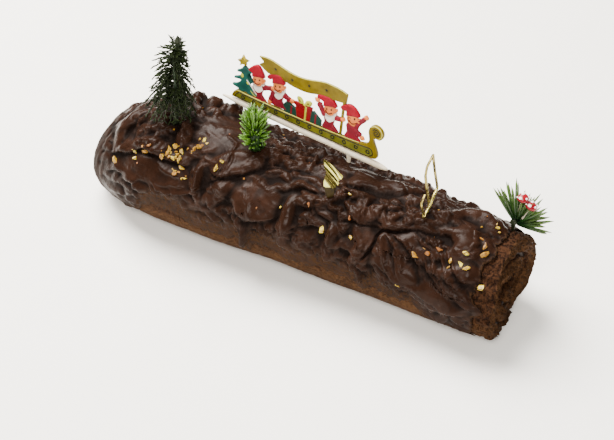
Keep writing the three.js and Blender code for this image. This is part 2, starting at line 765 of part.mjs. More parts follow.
// A tall openwork star cut from gold sheet, standing across the log on its long foot.
function goldStar() {
  const outer = [[-1.0, -1.5], [3.6, 17], [-3.4, 20.6], [3.8, 25.6], [0.4, 36], [1, 43.6], [12.6, 50.4], [16.4, 34], [23, 18.4], [12, 10.4]];
  const middle = new THREE.Vector2(9, 26);
  const inner = outer.map(([y, z]) => {
    const p = new THREE.Vector2(y, z);
    const inward = middle.clone().sub(p);
    return p.addScaledVector(inward.normalize(), 2.1);
  });
  const shape = new THREE.Shape(outer.map(([y, z]) => new THREE.Vector2(y, z)));
  shape.holes.push(new THREE.Path(inner.reverse()));
  const plate = new THREE.ExtrudeGeometry(shape, { depth: STAR_WIRE, bevelEnabled: false });
  plate.rotateX(Math.PI / 2);
  plate.rotateZ(Math.PI / 2);
  plate.translate(starFoot.x - STAR_WIRE / 2, starFoot.y, starFoot.z);
  return solid(plate);
}

const sprigRight = new THREE.Vector3(0.866, 0.5, 0);
const sprigUp = new THREE.Vector3(-0.06, 0.34, 0.94).normalize();
const sprigFace = new THREE.Vector3().crossVectors(sprigRight, sprigUp).normalize();

function pineSprig() {
  const draw = seeded(19);
  const core = new THREE.SphereGeometry(2.8, 6, 4);
  core.translate(sprigFoot.x, sprigFoot.y, sprigFoot.z + 2.6);
  const parts = [solid(core)];
  const needles = 20;
  for (let k = 0; k < needles; k += 1) {
    const fan = rad(-14 + (136 * (k + 0.5)) / needles + 5 * (draw() - 0.5));
    const lean = 0.75 * ((k % 3) - 1) + 0.3 * (draw() - 0.5);
    const way = sprigRight
      .clone()
      .multiplyScalar(Math.cos(fan))
      .addScaledVector(sprigUp, Math.sin(fan) + 0.12)
      .addScaledVector(sprigFace, lean * 0.6)
      .normalize();
    const from = sprigFoot.clone().add(new THREE.Vector3(0, 0, 3.0));
    const length = NEEDLE_LENGTH * (0.78 + 0.3 * draw());
    parts.push(solid(rod(from, from.clone().addScaledVector(way, length), 1.0, 0.35, 3)));
  }
  return joined(parts);
}

function mushroom(shift) {
  const s = CAP_RADIUS;
  const outline = [[0, 0], [0.95, 0], [0.8, 9.5], [0.62 * s, 9.3], [s, 10.2], [0.92 * s, 11.7], [0.55 * s, 13.1], [0, 13.6]];
  const shape = new THREE.LatheGeometry(outline.map(([r, z]) => new THREE.Vector2(r, z)), 10);
  shape.rotateX(Math.PI / 2);
  const turn = new THREE.Quaternion().setFromUnitVectors(new THREE.Vector3(0, 0, 1), shift.way.clone().normalize());
  shape.applyQuaternion(turn);
  shape.translate(shift.at.x, shift.at.y, shift.at.z);
  return solid(shape);
}

function mushroomPlace(right, up, face, lean) {
  return {
    at: sprigFoot
      .clone()
      .addScaledVector(sprigRight, right)
      .addScaledVector(sprigUp, up)
      .addScaledVector(sprigFace, face),
    way: sprigUp.clone().addScaledVector(sprigRight, lean).addScaledVector(sprigFace, 0.35),
  };
}

const MUSHROOM_PLACES = [mushroomPlace(2.0, 5.5, 5.2, 0.06), mushroomPlace(6.0, 3.4, 6.6, 0.36)];

// ---------- fitting the pieces to one another ----------

const room = rollRoom();
const coatShell = coatBody(0).subtract(room).subtract(belowEdge()).subtract(rightOfEdge());
const nuts = NUTS.map(([x, angle, size], k) => nutBody(x, angle, size, k + 1));
const keepOff = coatBody(GAP + 0.15);

const pegs = {
  fir: peg(firFoot, 1.6, PEG_DEPTH, 9),
  small: peg(smallFoot, 1.3, PEG_DEPTH, 6),
  leaf: peg(leafFoot, 0.8, PEG_DEPTH, 2),
  star: peg(starFoot, 0.75, PEG_DEPTH, 3.5),
  sprig: peg(sprigFoot, 1.2, PEG_DEPTH, 3),
};
const barPegs = [34, 108].map((s) => topperPoint(s, -3));

function hole(foot, radius, depth = PEG_DEPTH) {
  const low = foot.clone().add(new THREE.Vector3(0, 0, -depth - GAP - 0.1));
  const high = foot.clone().add(new THREE.Vector3(0, 0, 14));
  return solid(rod(low, high, radius + GAP + 0.1, radius + GAP + 0.1, 6));
}

const holes = [
  hole(firFoot, 1.7),
  hole(smallFoot, 1.4),
  hole(leafFoot, 1.0),
  hole(starFoot, 0.9),
  hole(sprigFoot, 1.3),
];
barPegs.forEach((top) => {
  const low = top.clone();
  low.z -= 21.6;
  holes.push(solid(rod(low, top, 1.62, 2.0, 6)));
});
const drilled = joined(holes);

const icing = joined([coatShell, ...nuts]).subtract(room).subtract(drilled);
const sponge = solid(ringBody(spongeRings)).subtract(drilled);
const filling = solid(ringBody(fillingRings));

const fir = firTree().subtract(keepOff).add(solid(pegs.fir));
const brightFir = smallFir().subtract(keepOff).add(solid(pegs.small));
const leaf = goldLeaf().subtract(keepOff).add(solid(pegs.leaf));
const star = goldStar().subtract(keepOff).add(solid(pegs.star));
const mushrooms = MUSHROOM_PLACES.map((place) => mushroom(place).subtract(keepOff));
mushrooms[1] = mushrooms[1].subtract(grown(mushrooms[0], MUSHROOM_PLACES[0]));
const sprig = mainPiece(
  pineSprig()
    .subtract(keepOff)
    .subtract(grown(mushrooms[0], MUSHROOM_PLACES[0]))
    .subtract(grown(mushrooms[1], MUSHROOM_PLACES[1])),
).add(solid(pegs.sprig));

// The same mushroom, a little larger all round, as the room it needs.
function grown(body, place) {
  const mesh = body.getMesh();
  const geometry = indexed(Array.from(mesh.vertProperties), Array.from(mesh.triVerts));
  const box = new THREE.Box3().setFromBufferAttribute(geometry.attributes.position);
  const axis = place.way.clone().normalize();
  const positions = geometry.attributes.position;
  const v = new THREE.Vector3();
  for (let k = 0; k < positions.count; k += 1) {
    v.fromBufferAttribute(positions, k).sub(place.at);
    const rise = v.dot(axis);
    const side = v.clone().addScaledVector(axis, -rise);
    const reach = side.length();
    const more = reach > 0.01 ? (reach + 0.45) / reach : 1;
    const middle = rise > 6 ? (rise > 9.8 ? rise + 0.45 : rise - 0.45) : rise - 0.45;
    v.copy(place.at).addScaledVector(axis, middle).addScaledVector(side, more);
    positions.setXYZ(k, v.x, v.y, v.z);
  }
  return box.isEmpty() ? body : solid(geometry);
}

// ---------- the model ----------

function material(colour, roughness, metalness = 0) {
  return new THREE.MeshStandardMaterial({ color: colour, roughness, metalness });
}

const chocolate = material("#4a2d24", 0.38);
const crumb = material("#69432f", 0.92);
const cream = material("#2f1a12", 0.6);
const darkGreen = material("#26301f", 0.6);
const brightGreen = material("#5ea12f", 0.32);
const ivory = material("#e6e0d2", 0.4);
const paint = material("#9b8a2a", 0.38);
const gold = material("#c2ab5c", 0.3, 0.9);
const pine = material("#2f5a22", 0.5);
const red = material("#c2162c", 0.35);

const cake = new THREE.Group();
const log = new THREE.Group();
cake.add(log);

function piece(name, geometry, look) {
  const mesh = new THREE.Mesh(geometry, look);
  mesh.name = name;
  log.add(mesh);
}

piece("sponge", geometryOf(sponge), crumb);
piece("filling", geometryOf(filling), cream);
piece("icing", geometryOf(icing), chocolate);
piece("fir_tree", geometryOf(fir), darkGreen);
piece("small_fir", geometryOf(brightFir), brightGreen);
piece("topper_bar", geometryOf(topperBar()), ivory);
piece("topper_plaque", geometryOf(topperPlaque()), paint);
piece("gold_leaf", geometryOf(leaf), gold);
piece("gold_star", geometryOf(star), gold);
piece("pine_sprig", geometryOf(sprig), pine);
piece("mushroom_1", geometryOf(mushrooms[0]), red);
piece("mushroom_2", geometryOf(mushrooms[1]), red);

// The origin lies at the bottom centre of the whole cake.
const bounds = new THREE.Box3().setFromObject(cake);
log.position.set(-(bounds.min.x + bounds.max.x) / 2, -(bounds.min.y + bounds.max.y) / 2, -bounds.min.z);

export default cake;
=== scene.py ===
"""Yule log cake: a rolled sponge under a thick chocolate coat, dressed with festive picks."""

import math
import random

import bmesh
import bpy
import numpy as np
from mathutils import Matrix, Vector


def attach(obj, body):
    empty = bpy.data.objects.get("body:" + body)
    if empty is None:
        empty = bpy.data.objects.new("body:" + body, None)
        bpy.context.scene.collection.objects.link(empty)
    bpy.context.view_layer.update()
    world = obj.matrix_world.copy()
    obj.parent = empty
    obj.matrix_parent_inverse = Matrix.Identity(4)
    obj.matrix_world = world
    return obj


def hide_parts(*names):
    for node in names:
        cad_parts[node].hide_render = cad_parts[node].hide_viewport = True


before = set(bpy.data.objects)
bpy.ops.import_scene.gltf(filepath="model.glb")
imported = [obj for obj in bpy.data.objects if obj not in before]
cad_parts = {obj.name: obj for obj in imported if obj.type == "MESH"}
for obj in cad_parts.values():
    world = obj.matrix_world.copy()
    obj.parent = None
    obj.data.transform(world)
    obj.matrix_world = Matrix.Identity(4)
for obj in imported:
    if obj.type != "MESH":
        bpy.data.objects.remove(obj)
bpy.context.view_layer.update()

MM = 0.001
# Where the middle of the straight log stands in the row frame, in millimetres.
LOG_PLACE = np.array([6.1729, -0.5618, 0.0])

# Roll, in millimetres
LOG_LENGTH = 300
CUT_END = LOG_LENGTH / 2
ROLL_WIDTH = 86
ROLL_HEIGHT = 77
ROLL_TAPER = 0.108
CENTRE_SHARE = 0.475
BOTTOM_BULGE = 1.1
ROUNDED_FROM = -90
ROUND_POWER = 2.2
END_DROP = 28
SPONGE_START = -171
# How uneven the roll is: share of its radius, length along it, waves round it.
UNEVEN = [(0.012, 31, 2), (0.008, 13, -3)]

# The rolled sheet: its steps round the spiral, and thicknesses as shares of the roll's radius
STEPS_PER_TURN = 18
SPIRAL_STEPS = 39
TAIL_STEPS = 4
ROLL_END_ANGLE = -158
SHEET_SHARE = 0.31
TAIL_SHARE = 0.06
PRESSED_SHARE = 0.1
FILLING_SHARE = 0.09
CORE_SHARE = 0.035
CORE_GROWTH = 0.01

# Coat, in millimetres
COAT = 3.0
GAP = 0.3
COAT_ARC = 134
COAT_END = -178
CRUMB_EDGE = 144
ARC_RADIUS = 42
TIP_EDGE = 126
THINNEST_COAT = 0.5
LOWEST_EDGE = 8.5

# Decorations, in millimetres
FIR_HEIGHT = 66
SMALL_FIR_HEIGHT = 35
BAR_LENGTH = 139
BAR_THICK = 4.4
CAP_RADIUS = 4.3
PEG_DEPTH = 10

# Camera and light
CAMERA_AIM = (-13.13, 29.11, 0.0)
CAMERA_DISTANCE = 994
CAMERA_AZIMUTH = 30
CAMERA_ELEVATION = 39
CAMERA_LENS = 79.5
WORLD_COLOUR = (1.0, 0.975, 0.94)
WORLD_STRENGTH = 0.36
# Softboxes: name, place and size in metres, power in watts, colour.
SOFTBOXES = [
    ("overhead_softbox", (-0.7, 0.25, 1.4), (1.1, 1.1), 138, (1.0, 0.965, 0.91)),
    ("front_softbox", (0.5, -1.3, 1.35), (0.9, 0.7), 50, (1.0, 0.96, 0.90)),
]
LIGHT_AIM = (0, 0, 0.03)
FLOOR_REACH = 6.0


# ---------- small tools ----------

def smooth(t):
    u = np.clip(t, 0.0, 1.0)
    return u * u * (3 - 2 * u)


def lattice(i, j, seed):
    v = np.sin(i * 127.1 + j * 311.7 + seed * 74.7) * 43758.5453
    return v - np.floor(v)


def rolling_noise(x, y, seed):
    """Soft value noise between -1 and 1."""
    i, j = np.floor(x), np.floor(y)
    u, v = smooth(x - i), smooth(y - j)
    low = lattice(i, j, seed) * (1 - u) + lattice(i + 1, j, seed) * u
    high = lattice(i, j + 1, seed) * (1 - u) + lattice(i + 1, j + 1, seed) * u
    return (low * (1 - v) + high * v) * 2 - 1


def grain(x, y, seed):
    """Gradient noise between about -1 and 1."""
    i, j = np.floor(x), np.floor(y)
    fx, fy = x - i, y - j

    def corner(di, dj):
        turn = lattice(i + di, j + dj, seed) * math.tau
        return np.cos(turn) * (fx - di) + np.sin(turn) * (fy - dj)

    u, v = smooth(fx), smooth(fy)
    low = corner(0, 0) * (1 - u) + corner(1, 0) * u
    high = corner(0, 1) * (1 - u) + corner(1, 1) * u
    return (low * (1 - v) + high * v) * 1.5


def along(table, x):
    return np.interp(x, [row[0] for row in table], [row[1] for row in table])


def arc_place(angle):
    """Millimetres round the coat from its top, for an angle in degrees."""
    return np.radians(angle) * ARC_RADIUS


def oval(dx, ds, long, wide, turn=0.0):
    """Squared distance from the middle of a turned oval: 1 on its rim."""
    c, s = math.cos(turn), math.sin(turn)
    return ((dx * c + ds * s) / long) ** 2 + ((ds * c - dx * s) / wide) ** 2


def distance_to_path(px, py, points):
    """Distance to a bent line, and how far along it, from 0 to 1."""
    best = np.full(np.shape(px), 1e9)
    share = np.zeros(np.shape(px))
    last = len(points) - 1
    for k, ((ax, ay), (bx, by)) in enumerate(zip(points, points[1:])):
        dx, dy = bx - ax, by - ay
        t = np.clip(((px - ax) * dx + (py - ay) * dy) / (dx * dx + dy * dy), 0, 1)
        away = np.hypot(px - ax - t * dx, py - ay - t * dy)
        near = away < best
        best = np.where(near, away, best)
        share = np.where(near, (k + t) / last, share)
    return best, share


def catmull(points, steps=6, closed=True):
    """A smooth line through the points; a point given twice stays a corner."""
    count = len(points)
    out = []
    for k in range(count if closed else count - 1):
        four = range(k - 1, k + 3)
        places = [d % count if closed else min(max(d, 0), count - 1) for d in four]
        p0, p1, p2, p3 = (np.array(points[d], float) for d in places)
        if np.allclose(p1, p2):
            continue
        for s in range(steps):
            t = s / steps
            out.append(0.5 * (2 * p1 + (p2 - p0) * t + (2 * p0 - 5 * p1 + 4 * p2 - p3) * t * t
                              + (3 * p1 - p0 - 3 * p2 + p3) * t ** 3))
    if not closed:
        out.append(np.array(points[-1], float))
    return out


def unit(v):
    v = np.asarray(v, float)
    return v / np.linalg.norm(v)


# ---------- the roll ----------

def taper(x):
    return 1 - ROLL_TAPER * x / CUT_END


def end_scale(x, tip):
    t = np.clip((ROUNDED_FROM - x) / (ROUNDED_FROM - tip), 0, 1)
    return (1 - t ** ROUND_POWER) ** (1 / ROUND_POWER)


def roll_centre(x):
    return ROLL_HEIGHT * CENTRE_SHARE * taper(x)


def centre_line(x):
    return roll_centre(x) - END_DROP * (1 - end_scale(x, COAT_END))


def roll_radius(x, angle):
    """Outline radius seen from the centre; angle 0 is up and +90 degrees is the front."""
    a = np.radians(angle)
    size, centre = taper(x), roll_centre(x)
    s, c = np.sin(a), np.cos(a)
    half = ROLL_WIDTH / 2 * size
    tall = np.where(c > 0, ROLL_HEIGHT * size - centre, centre * BOTTOM_BULGE)
    uneven = 1 + sum(share * np.sin(x / length + waves * a) for share, length, waves in UNEVEN)
    radius = uneven / np.hypot(s / half, c / tall)
    return np.where(c < 0, np.minimum(radius, centre / np.maximum(-c, 1e-6)), radius)


def on_section(x, angle, r):
    """Point at radius r from the centre line."""
    a = np.radians(angle)
    return np.stack(np.broadcast_arrays(x, -r * np.sin(a), centre_line(x) + r * np.cos(a)), axis=-1)


def roll_point(x, angle, share, grow=0.0):
    return on_section(x, angle, roll_radius(x, angle) * share * end_scale(x, COAT_END + 3) + grow)


def spiral_shares():
    """Shares of the roll's radius where the outside and the inside of the sheet lie, step by step."""
    outer, inner = [], []
    for k in range(SPIRAL_STEPS + 1):
        pressed = PRESSED_SHARE * float(smooth((k - STEPS_PER_TURN + TAIL_STEPS) / TAIL_STEPS))
        out = 1 - pressed if k < STEPS_PER_TURN else inner[k - STEPS_PER_TURN] - FILLING_SHARE
        thick = TAIL_SHARE + (SHEET_SHARE - TAIL_SHARE) * float(smooth(k / TAIL_STEPS))
        outer.append(out)
        inner.append(max(CORE_SHARE + CORE_GROWTH * (SPIRAL_STEPS - k), out - thick))
    return np.array(outer), np.array(inner)


SHEET_OUTER, SHEET_INNER = spiral_shares()


def step_angle(k):
    return ROLL_END_ANGLE - 360 / STEPS_PER_TURN * k


def sheet_outer(k):
    return np.interp(k, np.arange(SPIRAL_STEPS + 1), SHEET_OUTER)


def sheet_inner(k):
    return np.interp(k, np.arange(SPIRAL_STEPS + 1), SHEET_INNER)


# ---------- the coat's shape ----------

# Lobes of chocolate: x, angle, half length, half width, turn of the long side, height.
LOBES = [
    (-132, 20, 17, 6, -38, 3.4), (-107, 42, 12, 5, -8, 3.2), (-89, 24, 9, 5, 78, 3.4),
    (-101, 68, 24, 11, 6, 1.8), (-67, 60, 11, 4, 70, 2.8), (-49, 60, 12, 6, -50, 3.6),
    (-45, 34, 20, 9, -30, 2.6), (-108, -27, 8, 8, 0, 5.0), (-93, -30, 7, 6, 0, 4.6),
    (-77, -28, 7, 6, 0, 5.0), (-20, 56, 17, 11, -10, 3.0), (-25, 82, 6, 9, 0, 2.4), (4, 62, 5, 15, 0, 2.8),
    (17, 38, 12, 4, -20, 2.8), (40, 66, 6, 15, 8, 2.4), (60, 72, 6, 13, 12, 2.6), (62, 30, 22, 8, -12, 2.6),
    (86, 70, 17, 10, 20, 2.8), (30, -14, 28, 7, 4, 2.4), (104, 12, 24, 9, -6, 3.0),
    (124, 26, 10, 7, 20, 3.0), (132, 50, 14, 5, -16, 2.6), (118, 84, 15, 10, 24, 2.0),
    (132, -16, 18, 6, -6, 2.4), (-40, -50, 26, 8, 12, 2.6), (60, -54, 30, 8, -8, 2.4),
    (0, -78, 14, 9, 60, 2.2), (104, -74, 13, 8, -60, 2.2), (-96, -74, 18, 9, 40, 2.4),
]

# Strokes of the spatula and runs of chocolate: width, height, and places (x, angle) along them.
STROKES = [
    (6.0, 2.8, [(-139, 46), (-139, 32), (-138, 16), (-134, 2)]),
    (2.2, -2.8, [(-133, 44), (-132, 32), (-129, 22), (-125, 13)]),
    (3.6, 0.9, [(-157, 66), (-151, 48), (-147, 24), (-144, 4)]),
    (4.6, 2.6, [(-96, 6), (-91, 16), (-88, 26)]),
    (1.4, 1.2, [(-101, 71), (-95, 74), (-87, 75), (-80, 73), (-71, 70), (-65, 66)]),
    (3.6, 1.4, [(-140, 73), (-130, 71), (-120, 74), (-110, 82)]),
    (3.4, 1.4, [(-152, 86), (-136, 83), (-124, 86), (-112, 94)]),
    (3.2, 1.3, [(-154, 100), (-138, 96), (-126, 98), (-116, 105)]),
    (3.2, 1.4, [(-160, 84), (-158, 68), (-156, 56)]),
    (3.0, 1.2, [(-153, 92), (-151, 80), (-150, 70)]),
    (3.6, 2.4, [(-67, 42), (-66, 54), (-66, 66)]),
    (4.6, 2.2, [(-41, 4), (-33, 8), (-25, 10), (-20, 5)]),
    (3.2, -3.4, [(-43, 42), (-34, 37), (-27, 29), (-21, 22), (-10, 18), (0, 12)]),
    (2.2, -2.2, [(-14, 31), (-7, 31), (-1, 33)]),
    (3.0, 2.0, [(-38, 41), (-29, 38), (-20, 39), (-9, 42)]),
    (3.0, 2.6, [(-2, 34), (4, 30), (12, 27), (22, 26)]),
    (1.8, -2.4, [(2, 36), (8, 32), (15, 31), (22, 33)]),
    (4.2, 2.2, [(4, 44), (5, 56), (6, 70)]),
    (1.6, 1.4, [(12, 54), (18, 52), (24, 54)]),
    (4.0, 2.0, [(36, 48), (39, 60), (40, 68)]),
    (4.0, 1.8, [(54, 46), (58, 56), (60, 66)]),
    (1.2, -3.6, [(90, 29), (83, 33), (76, 37), (70, 40), (68, 48), (67, 58), (65, 66), (62, 74)]),
    (1.2, -2.2, [(69, 41), (60, 40), (50, 42), (42, 44)]),
    (3.6, -4.2, [(36, 10), (48, 8), (57, 4), (65, -2)]),
    (4.6, -4.6, [(104, 24), (110, 24), (114, 24)]),
    (1.4, 2.2, [(72, 41), (80, 47), (88, 56), (94, 66)]),
    (1.3, 2.0, [(75, 38), (86, 43), (95, 50), (101, 60)]),
    (1.4, 2.2, [(70, 44), (74, 53), (78, 62), (82, 72)]),
    (1.3, -1.6, [(73, 43), (78, 51), (84, 61), (90, 72)]),
    (1.3, -1.5, [(80, 42), (90, 50), (97, 60), (104, 74)]),
    (1.5, 2.0, [(86, 33), (95, 36), (104, 41)]),
    (1.4, 2.0, [(57, 12), (65, 20), (70, 32)]),
    (1.4, 2.0, [(62, 9), (74, 17), (84, 26)]),
    (1.4, 1.8, [(70, 7), (80, 13), (90, 22)]),
    (1.4, 1.8, [(51, 14), (55, 24), (57, 34)]),
    (1.4, 1.6, [(-100, 55), (-88, 58), (-78, 62)]),
    (1.3, 1.5, [(-96, 70), (-84, 66), (-74, 66)]),
    (1.3, 1.6, [(-30, 50), (-24, 58), (-20, 68)]),
    (1.4, 1.8, [(-60, 8), (-52, 14), (-48, 24), (-50, 34)]),
    (1.6, 2.4, [(107, 46), (113, 58), (121, 66), (133, 72)]),
    (1.2, 1.9, [(103, 50), (110, 62), (119, 70), (130, 76)]),
    (1.7, 2.4, [(111, 40), (117, 52), (127, 60), (135, 68)]),
    (1.5, 2.0, [(113, 36), (122, 45), (131, 52), (137, 56)]),
    (2.2, 5.0, [(-25, 80), (-25, 92), (-25, 106)]),
    (2.0, 4.0, [(60, 84), (63, 94), (64, 104)]),
    (5.0, 2.6, [(106, 2), (112, -12), (122, -18), (132, -14)]),
    (1.6, 1.5, [(115, 10), (120, 4), (127, 7), (131, 18), (129, 29)]),
    (2.4, 1.5, [(-20, -8), (-8, -3), (6, -6), (18, -14)]),
    (3.0, 1.6, [(66, 0), (78, -4), (88, -12)]),
    (10.0, 2.6, [(-40, -42), (-10, -44), (30, -45), (60, -44), (86, -42)]),
    (4.0, 2.0, [(-110, -60), (-96, -80), (-92, -104)]),
    (4.0, 2.0, [(-54, -52), (-48, -74), (-44, -98)]),
    (4.4, 2.2, [(6, -46), (2, -70), (4, -98)]),
    (4.0, 2.0, [(48, -50), (52, -78), (50, -100)]),
    (4.2, 2.0, [(94, -48), (98, -74), (96, -104)]),
]

# Rounded lumps with a crease round them: x, angle, half length, half width, turn, height.
BUMPS = [
    (-133, 52, 6, 3.4, -12, 2.2), (-109, 38, 7, 3.2, 6, 2.2), (-106, 44, 5.4, 2.4, 0, 1.6),
    (-92, 17, 4.4, 5.6, 0, 2.6), (-84, 26, 3, 2.8, 0, 1.8), (-118, 18, 5, 4, 30, 1.6),
    (-104, 24, 7, 4, -20, 1.8), (-122, 36, 5, 4, 40, 1.2), (-50, 22, 14, 9, -30, 1.6),
    (-66, 56, 3.4, 8, 0, 1.8), (-46, 56, 6, 5, -40, 1.8), (-27, 12, 6, 4.4, -30, 2.4),
    (-17, 24, 8, 3.2, -12, 2.4), (-9, 26, 6, 3, 18, 1.8), (14, 36, 7.4, 3.6, 8, 2.4), (5, 58, 5, 11, 0, 1.8),
    (-22, 57, 13, 8, -24, 0.9), (-12, 50, 9, 6, 10, 0.8), (38, 56, 4.4, 9, 4, 1.8),
    (31, 46, 7, 3.6, 10, 2.0), (44, 47, 6, 3.6, -8, 1.8), (58, 50, 6, 8, 10, 1.8), (74, 50, 5, 8, 25, 2.0),
    (88, 42, 10, 5.6, 18, 2.2), (98, 47, 7, 5, 30, 1.6), (90, 66, 15, 6.4, 8, 1.5),
    (117, 81, 16, 8, 18, 1.5), (122, 18, 9, 8.4, 0, 2.8), (128, 44, 12, 4.6, 20, 2.0),
    (122, 58, 10, 4.6, 28, 1.6), (102, 6, 7, 5, 30, 1.8), (120, -14, 13, 6, 0, 1.8),
    (-107, -27, 4.6, 4.4, 0, 3.4), (-93, -30, 5, 4, 0, 2.6), (-77, -28, 4.8, 4, 0, 3.0),
    (-84, 58, 6, 3, 10, 0.8), (-72, 8, 9, 7, 20, 1.4), (42, 0, 12, 6, -8, 2.2), (-153, 16, 7, 4, 50, 1.8),
    (-158, 34, 6, 4.5, 70, 1.6), (-150, 54, 6, 5, 20, 1.6), (-148, -6, 6, 5, 30, 2.0),
    (-160, 4, 5, 5, 0, 1.6), (-156, -28, 7, 5, 40, 1.6), (-145, 26, 5, 4, 0, 1.4), (-163, 58, 6, 4, 0, 1.4),
    (62, -10, 12, 6, -14, 2.2), (24, -2, 8, 5, 0, 1.8), (-140, -30, 12, 6, 10, 1.6),
]

# Places left rough: x, angle, half length, half height along the arc, how many dollops, their size.
ROUGH = [
    (-114, 26, 16, 13, 30, 4.6), (-98, -16, 20, 8, 20, 4.8), (-8, -4, 22, 13, 46, 4.8),
    (-22, 10, 10, 7, 14, 4.2), (44, 24, 20, 13, 56, 4.6), (76, 16, 16, 8, 24, 4.4), (98, 0, 12, 10, 24, 4.6),
    (-36, 74, 11, 4, 22, 2.6), (24, 75, 24, 4, 50, 2.4), (54, 78, 12, 5, 30, 2.6), (22, 42, 8, 7, 16, 3.2),
    (106, 30, 8, 6, 16, 3.0), (-70, -44, 44, 14, 80, 4.2), (44, -48, 66, 16, 120, 4.0),
    (-10, 76, 12, 4, 22, 2.4), (84, 82, 10, 4, 18, 2.6), (96, 62, 30, 14, 42, 1.9),
    (-36, 36, 34, 18, 34, 1.8), (-104, 60, 36, 9, 18, 1.7), (60, -8, 60, 14, 40, 1.9),
]

# Steps where a layer of chocolate ends: height, reach upwards, and places along the step.
LEDGES = [
    (2.6, 9, [(-146, 62), (-137, 59), (-128, 56), (-118, 51), (-108, 47), (-98, 50), (-88, 50), (-80, 49),
              (-72, 46)]),
    (1.1, 5, [(-146, 77), (-132, 75), (-120, 78), (-108, 86)]),
    (1.2, 4, [(-101, 73), (-95, 76), (-87, 77), (-80, 75), (-71, 72), (-62, 68)]),
    (2.4, 9, [(-60, 46), (-50, 46), (-43, 42), (-36, 38), (-28, 30), (-22, 23), (-10, 19), (0, 13),
              (10, 11)]),
    (1.6, 8, [(-36, 66), (-24, 72), (-14, 69), (-8, 65), (-2, 61), (1, 58)]),
    (1.6, 7, [(1, 68), (6, 74), (12, 64), (24, 60), (34, 62), (40, 70), (46, 66), (56, 70), (64, 74)]),
    (1.4, 6, [(70, 66), (78, 74), (88, 78), (98, 80), (110, 84), (122, 88), (138, 90)]),
    (2.6, 9, [(30, 8), (40, 9), (50, 7), (58, 3), (66, -2), (74, -10)]),
    (1.6, 7, [(60, 33), (70, 38), (78, 36), (86, 31), (94, 27), (102, 26)]),
    (1.5, 6, [(84, 54), (94, 57), (104, 56), (110, 60), (118, 68), (132, 76), (142, 80)]),
    (1.3, 8, [(-150, -58), (-110, -70), (-70, -60), (-30, -72), (10, -62), (50, -76), (90, -64),
              (140, -72)]),
    (1.2, 7, [(-140, -30), (-100, -44), (-50, -34), (0, -46), (50, -38), (110, -50)]),
]

# Where the coat was smoothed: x, angle, half length, half height along the arc.
SMOOTHED = [
    (-168, 20, 12, 60), (-166, -70, 14, 50), (-50, 22, 16, 12), (-104, 62, 36, 8), (-20, 56, 19, 11),
    (92, 68, 22, 9), (120, -12, 20, 9), (-139, 30, 6, 20), (5, 56, 6, 12), (122, 80, 20, 10),
    (-68, 6, 14, 16), (42, -2, 26, 10), (122, 18, 9, 9), (128, 44, 13, 6), (86, 44, 18, 8),
    (60, -60, 30, 16), (-60, -62, 30, 14), (58, 52, 8, 9),
]

# Height of the coat's lower edge over the table along the front and along the back.
FRONT_EDGE = [
    (-150, 10), (-130, 11), (-120, 17), (-112, 27), (-102, 35), (-90, 34), (-74, 30), (-56, 25), (-40, 27),
    (-30, 30), (-25, 18), (-20, 30), (0, 29), (15, 27), (41, 30), (52, 28), (62, 22), (72, 30), (88, 25),
    (98, 27), (108, 16), (122, 11), (150, 9),
]
BACK_EDGE = [
    (-150, 10), (-128, 14), (-104, 26), (-80, 19), (-60, 30), (-44, 22), (-20, 31), (4, 20), (28, 29),
    (50, 24), (76, 31), (96, 18), (118, 24), (150, 20),
]

# Strokes: fullness of their crests, and the share of their height that shows.
STROKE_FULLNESS = 1.7
STROKE_SHARE = 0.85
# Ledges, in millimetres: width of the step, run-out at both its ends, reach of the trough below it.
LEDGE_STEP = 1.3
LEDGE_ENDS = 7
LEDGE_TROUGH = 4
# How much roughness the smoothing takes away; heights of the lumps elsewhere, and their mean level.
SMOOTHING = 0.92
WIDE_LUMPS = 2.6
CLOSE_LUMPS = 1.3
MEAN_LUMP = 0.42
# A print of fine ripples on the smooth shoulder: its middle (x, angle), radius, pitch and height.
PRINT_MIDDLE = (-66, 34)
PRINT_RADIUS = 16
PRINT_PITCH = 2.1
PRINT_HEIGHT = 0.34


def lobe_height(x, angle):
    total = np.zeros(np.shape(x))
    for lx, la, long, wide, turn, high in LOBES:
        away = oval(x - lx, arc_place(angle - la), long, wide, math.radians(turn))
        total = np.maximum(total, high * smooth(1.5 - away * 0.9))
    return total


def cad_thickness(x, angle):
    """The coat's plain thickness, without its fine relief."""
    s = arc_place(angle)
    low = smooth((np.abs(angle) - 92) / 30)
    height = (COAT - 0.4 + 0.9 * rolling_noise(x / 19, s / 15, 3)
              + 0.8 * rolling_noise(x / 8 + s / 14, s / 7, 11) + 0.8 * lobe_height(x, angle))
    return height * (1 - 0.45 * low)


def smoothness(x, s):
    """1 where the coat was smoothed with the spatula, 0 where it was left rough."""
    total = np.zeros(np.shape(x))
    for px, pa, long, high in SMOOTHED:
        total = np.maximum(total, smooth(1.6 - oval(x - px, s - arc_place(pa), long, high)))
    return total


def scattered_dollops():
    """Small dollops of the rough places: x, arc place, half length, half width, turn, height."""
    draw = random.Random(77)
    rows = []
    for x, angle, long, high, count, size in ROUGH:
        for _ in range(count):
            away, way = math.sqrt(draw.random()), draw.uniform(0, math.tau)
            half = size * draw.uniform(0.45, 1.0)
            px, ps = x + long * away * math.cos(way), arc_place(angle) + high * away * math.sin(way)
            wide, turn, tall = draw.uniform(0.5, 0.9), draw.uniform(-1.0, 1.6), draw.uniform(0.3, 0.62)
            rows.append((px, ps, half, half * wide, turn, size * tall))
    return rows


DOLLOPS = scattered_dollops() + [
    (x, arc_place(angle), long, wide, math.radians(turn), high)
    for x, angle, long, wide, turn, high in BUMPS
]


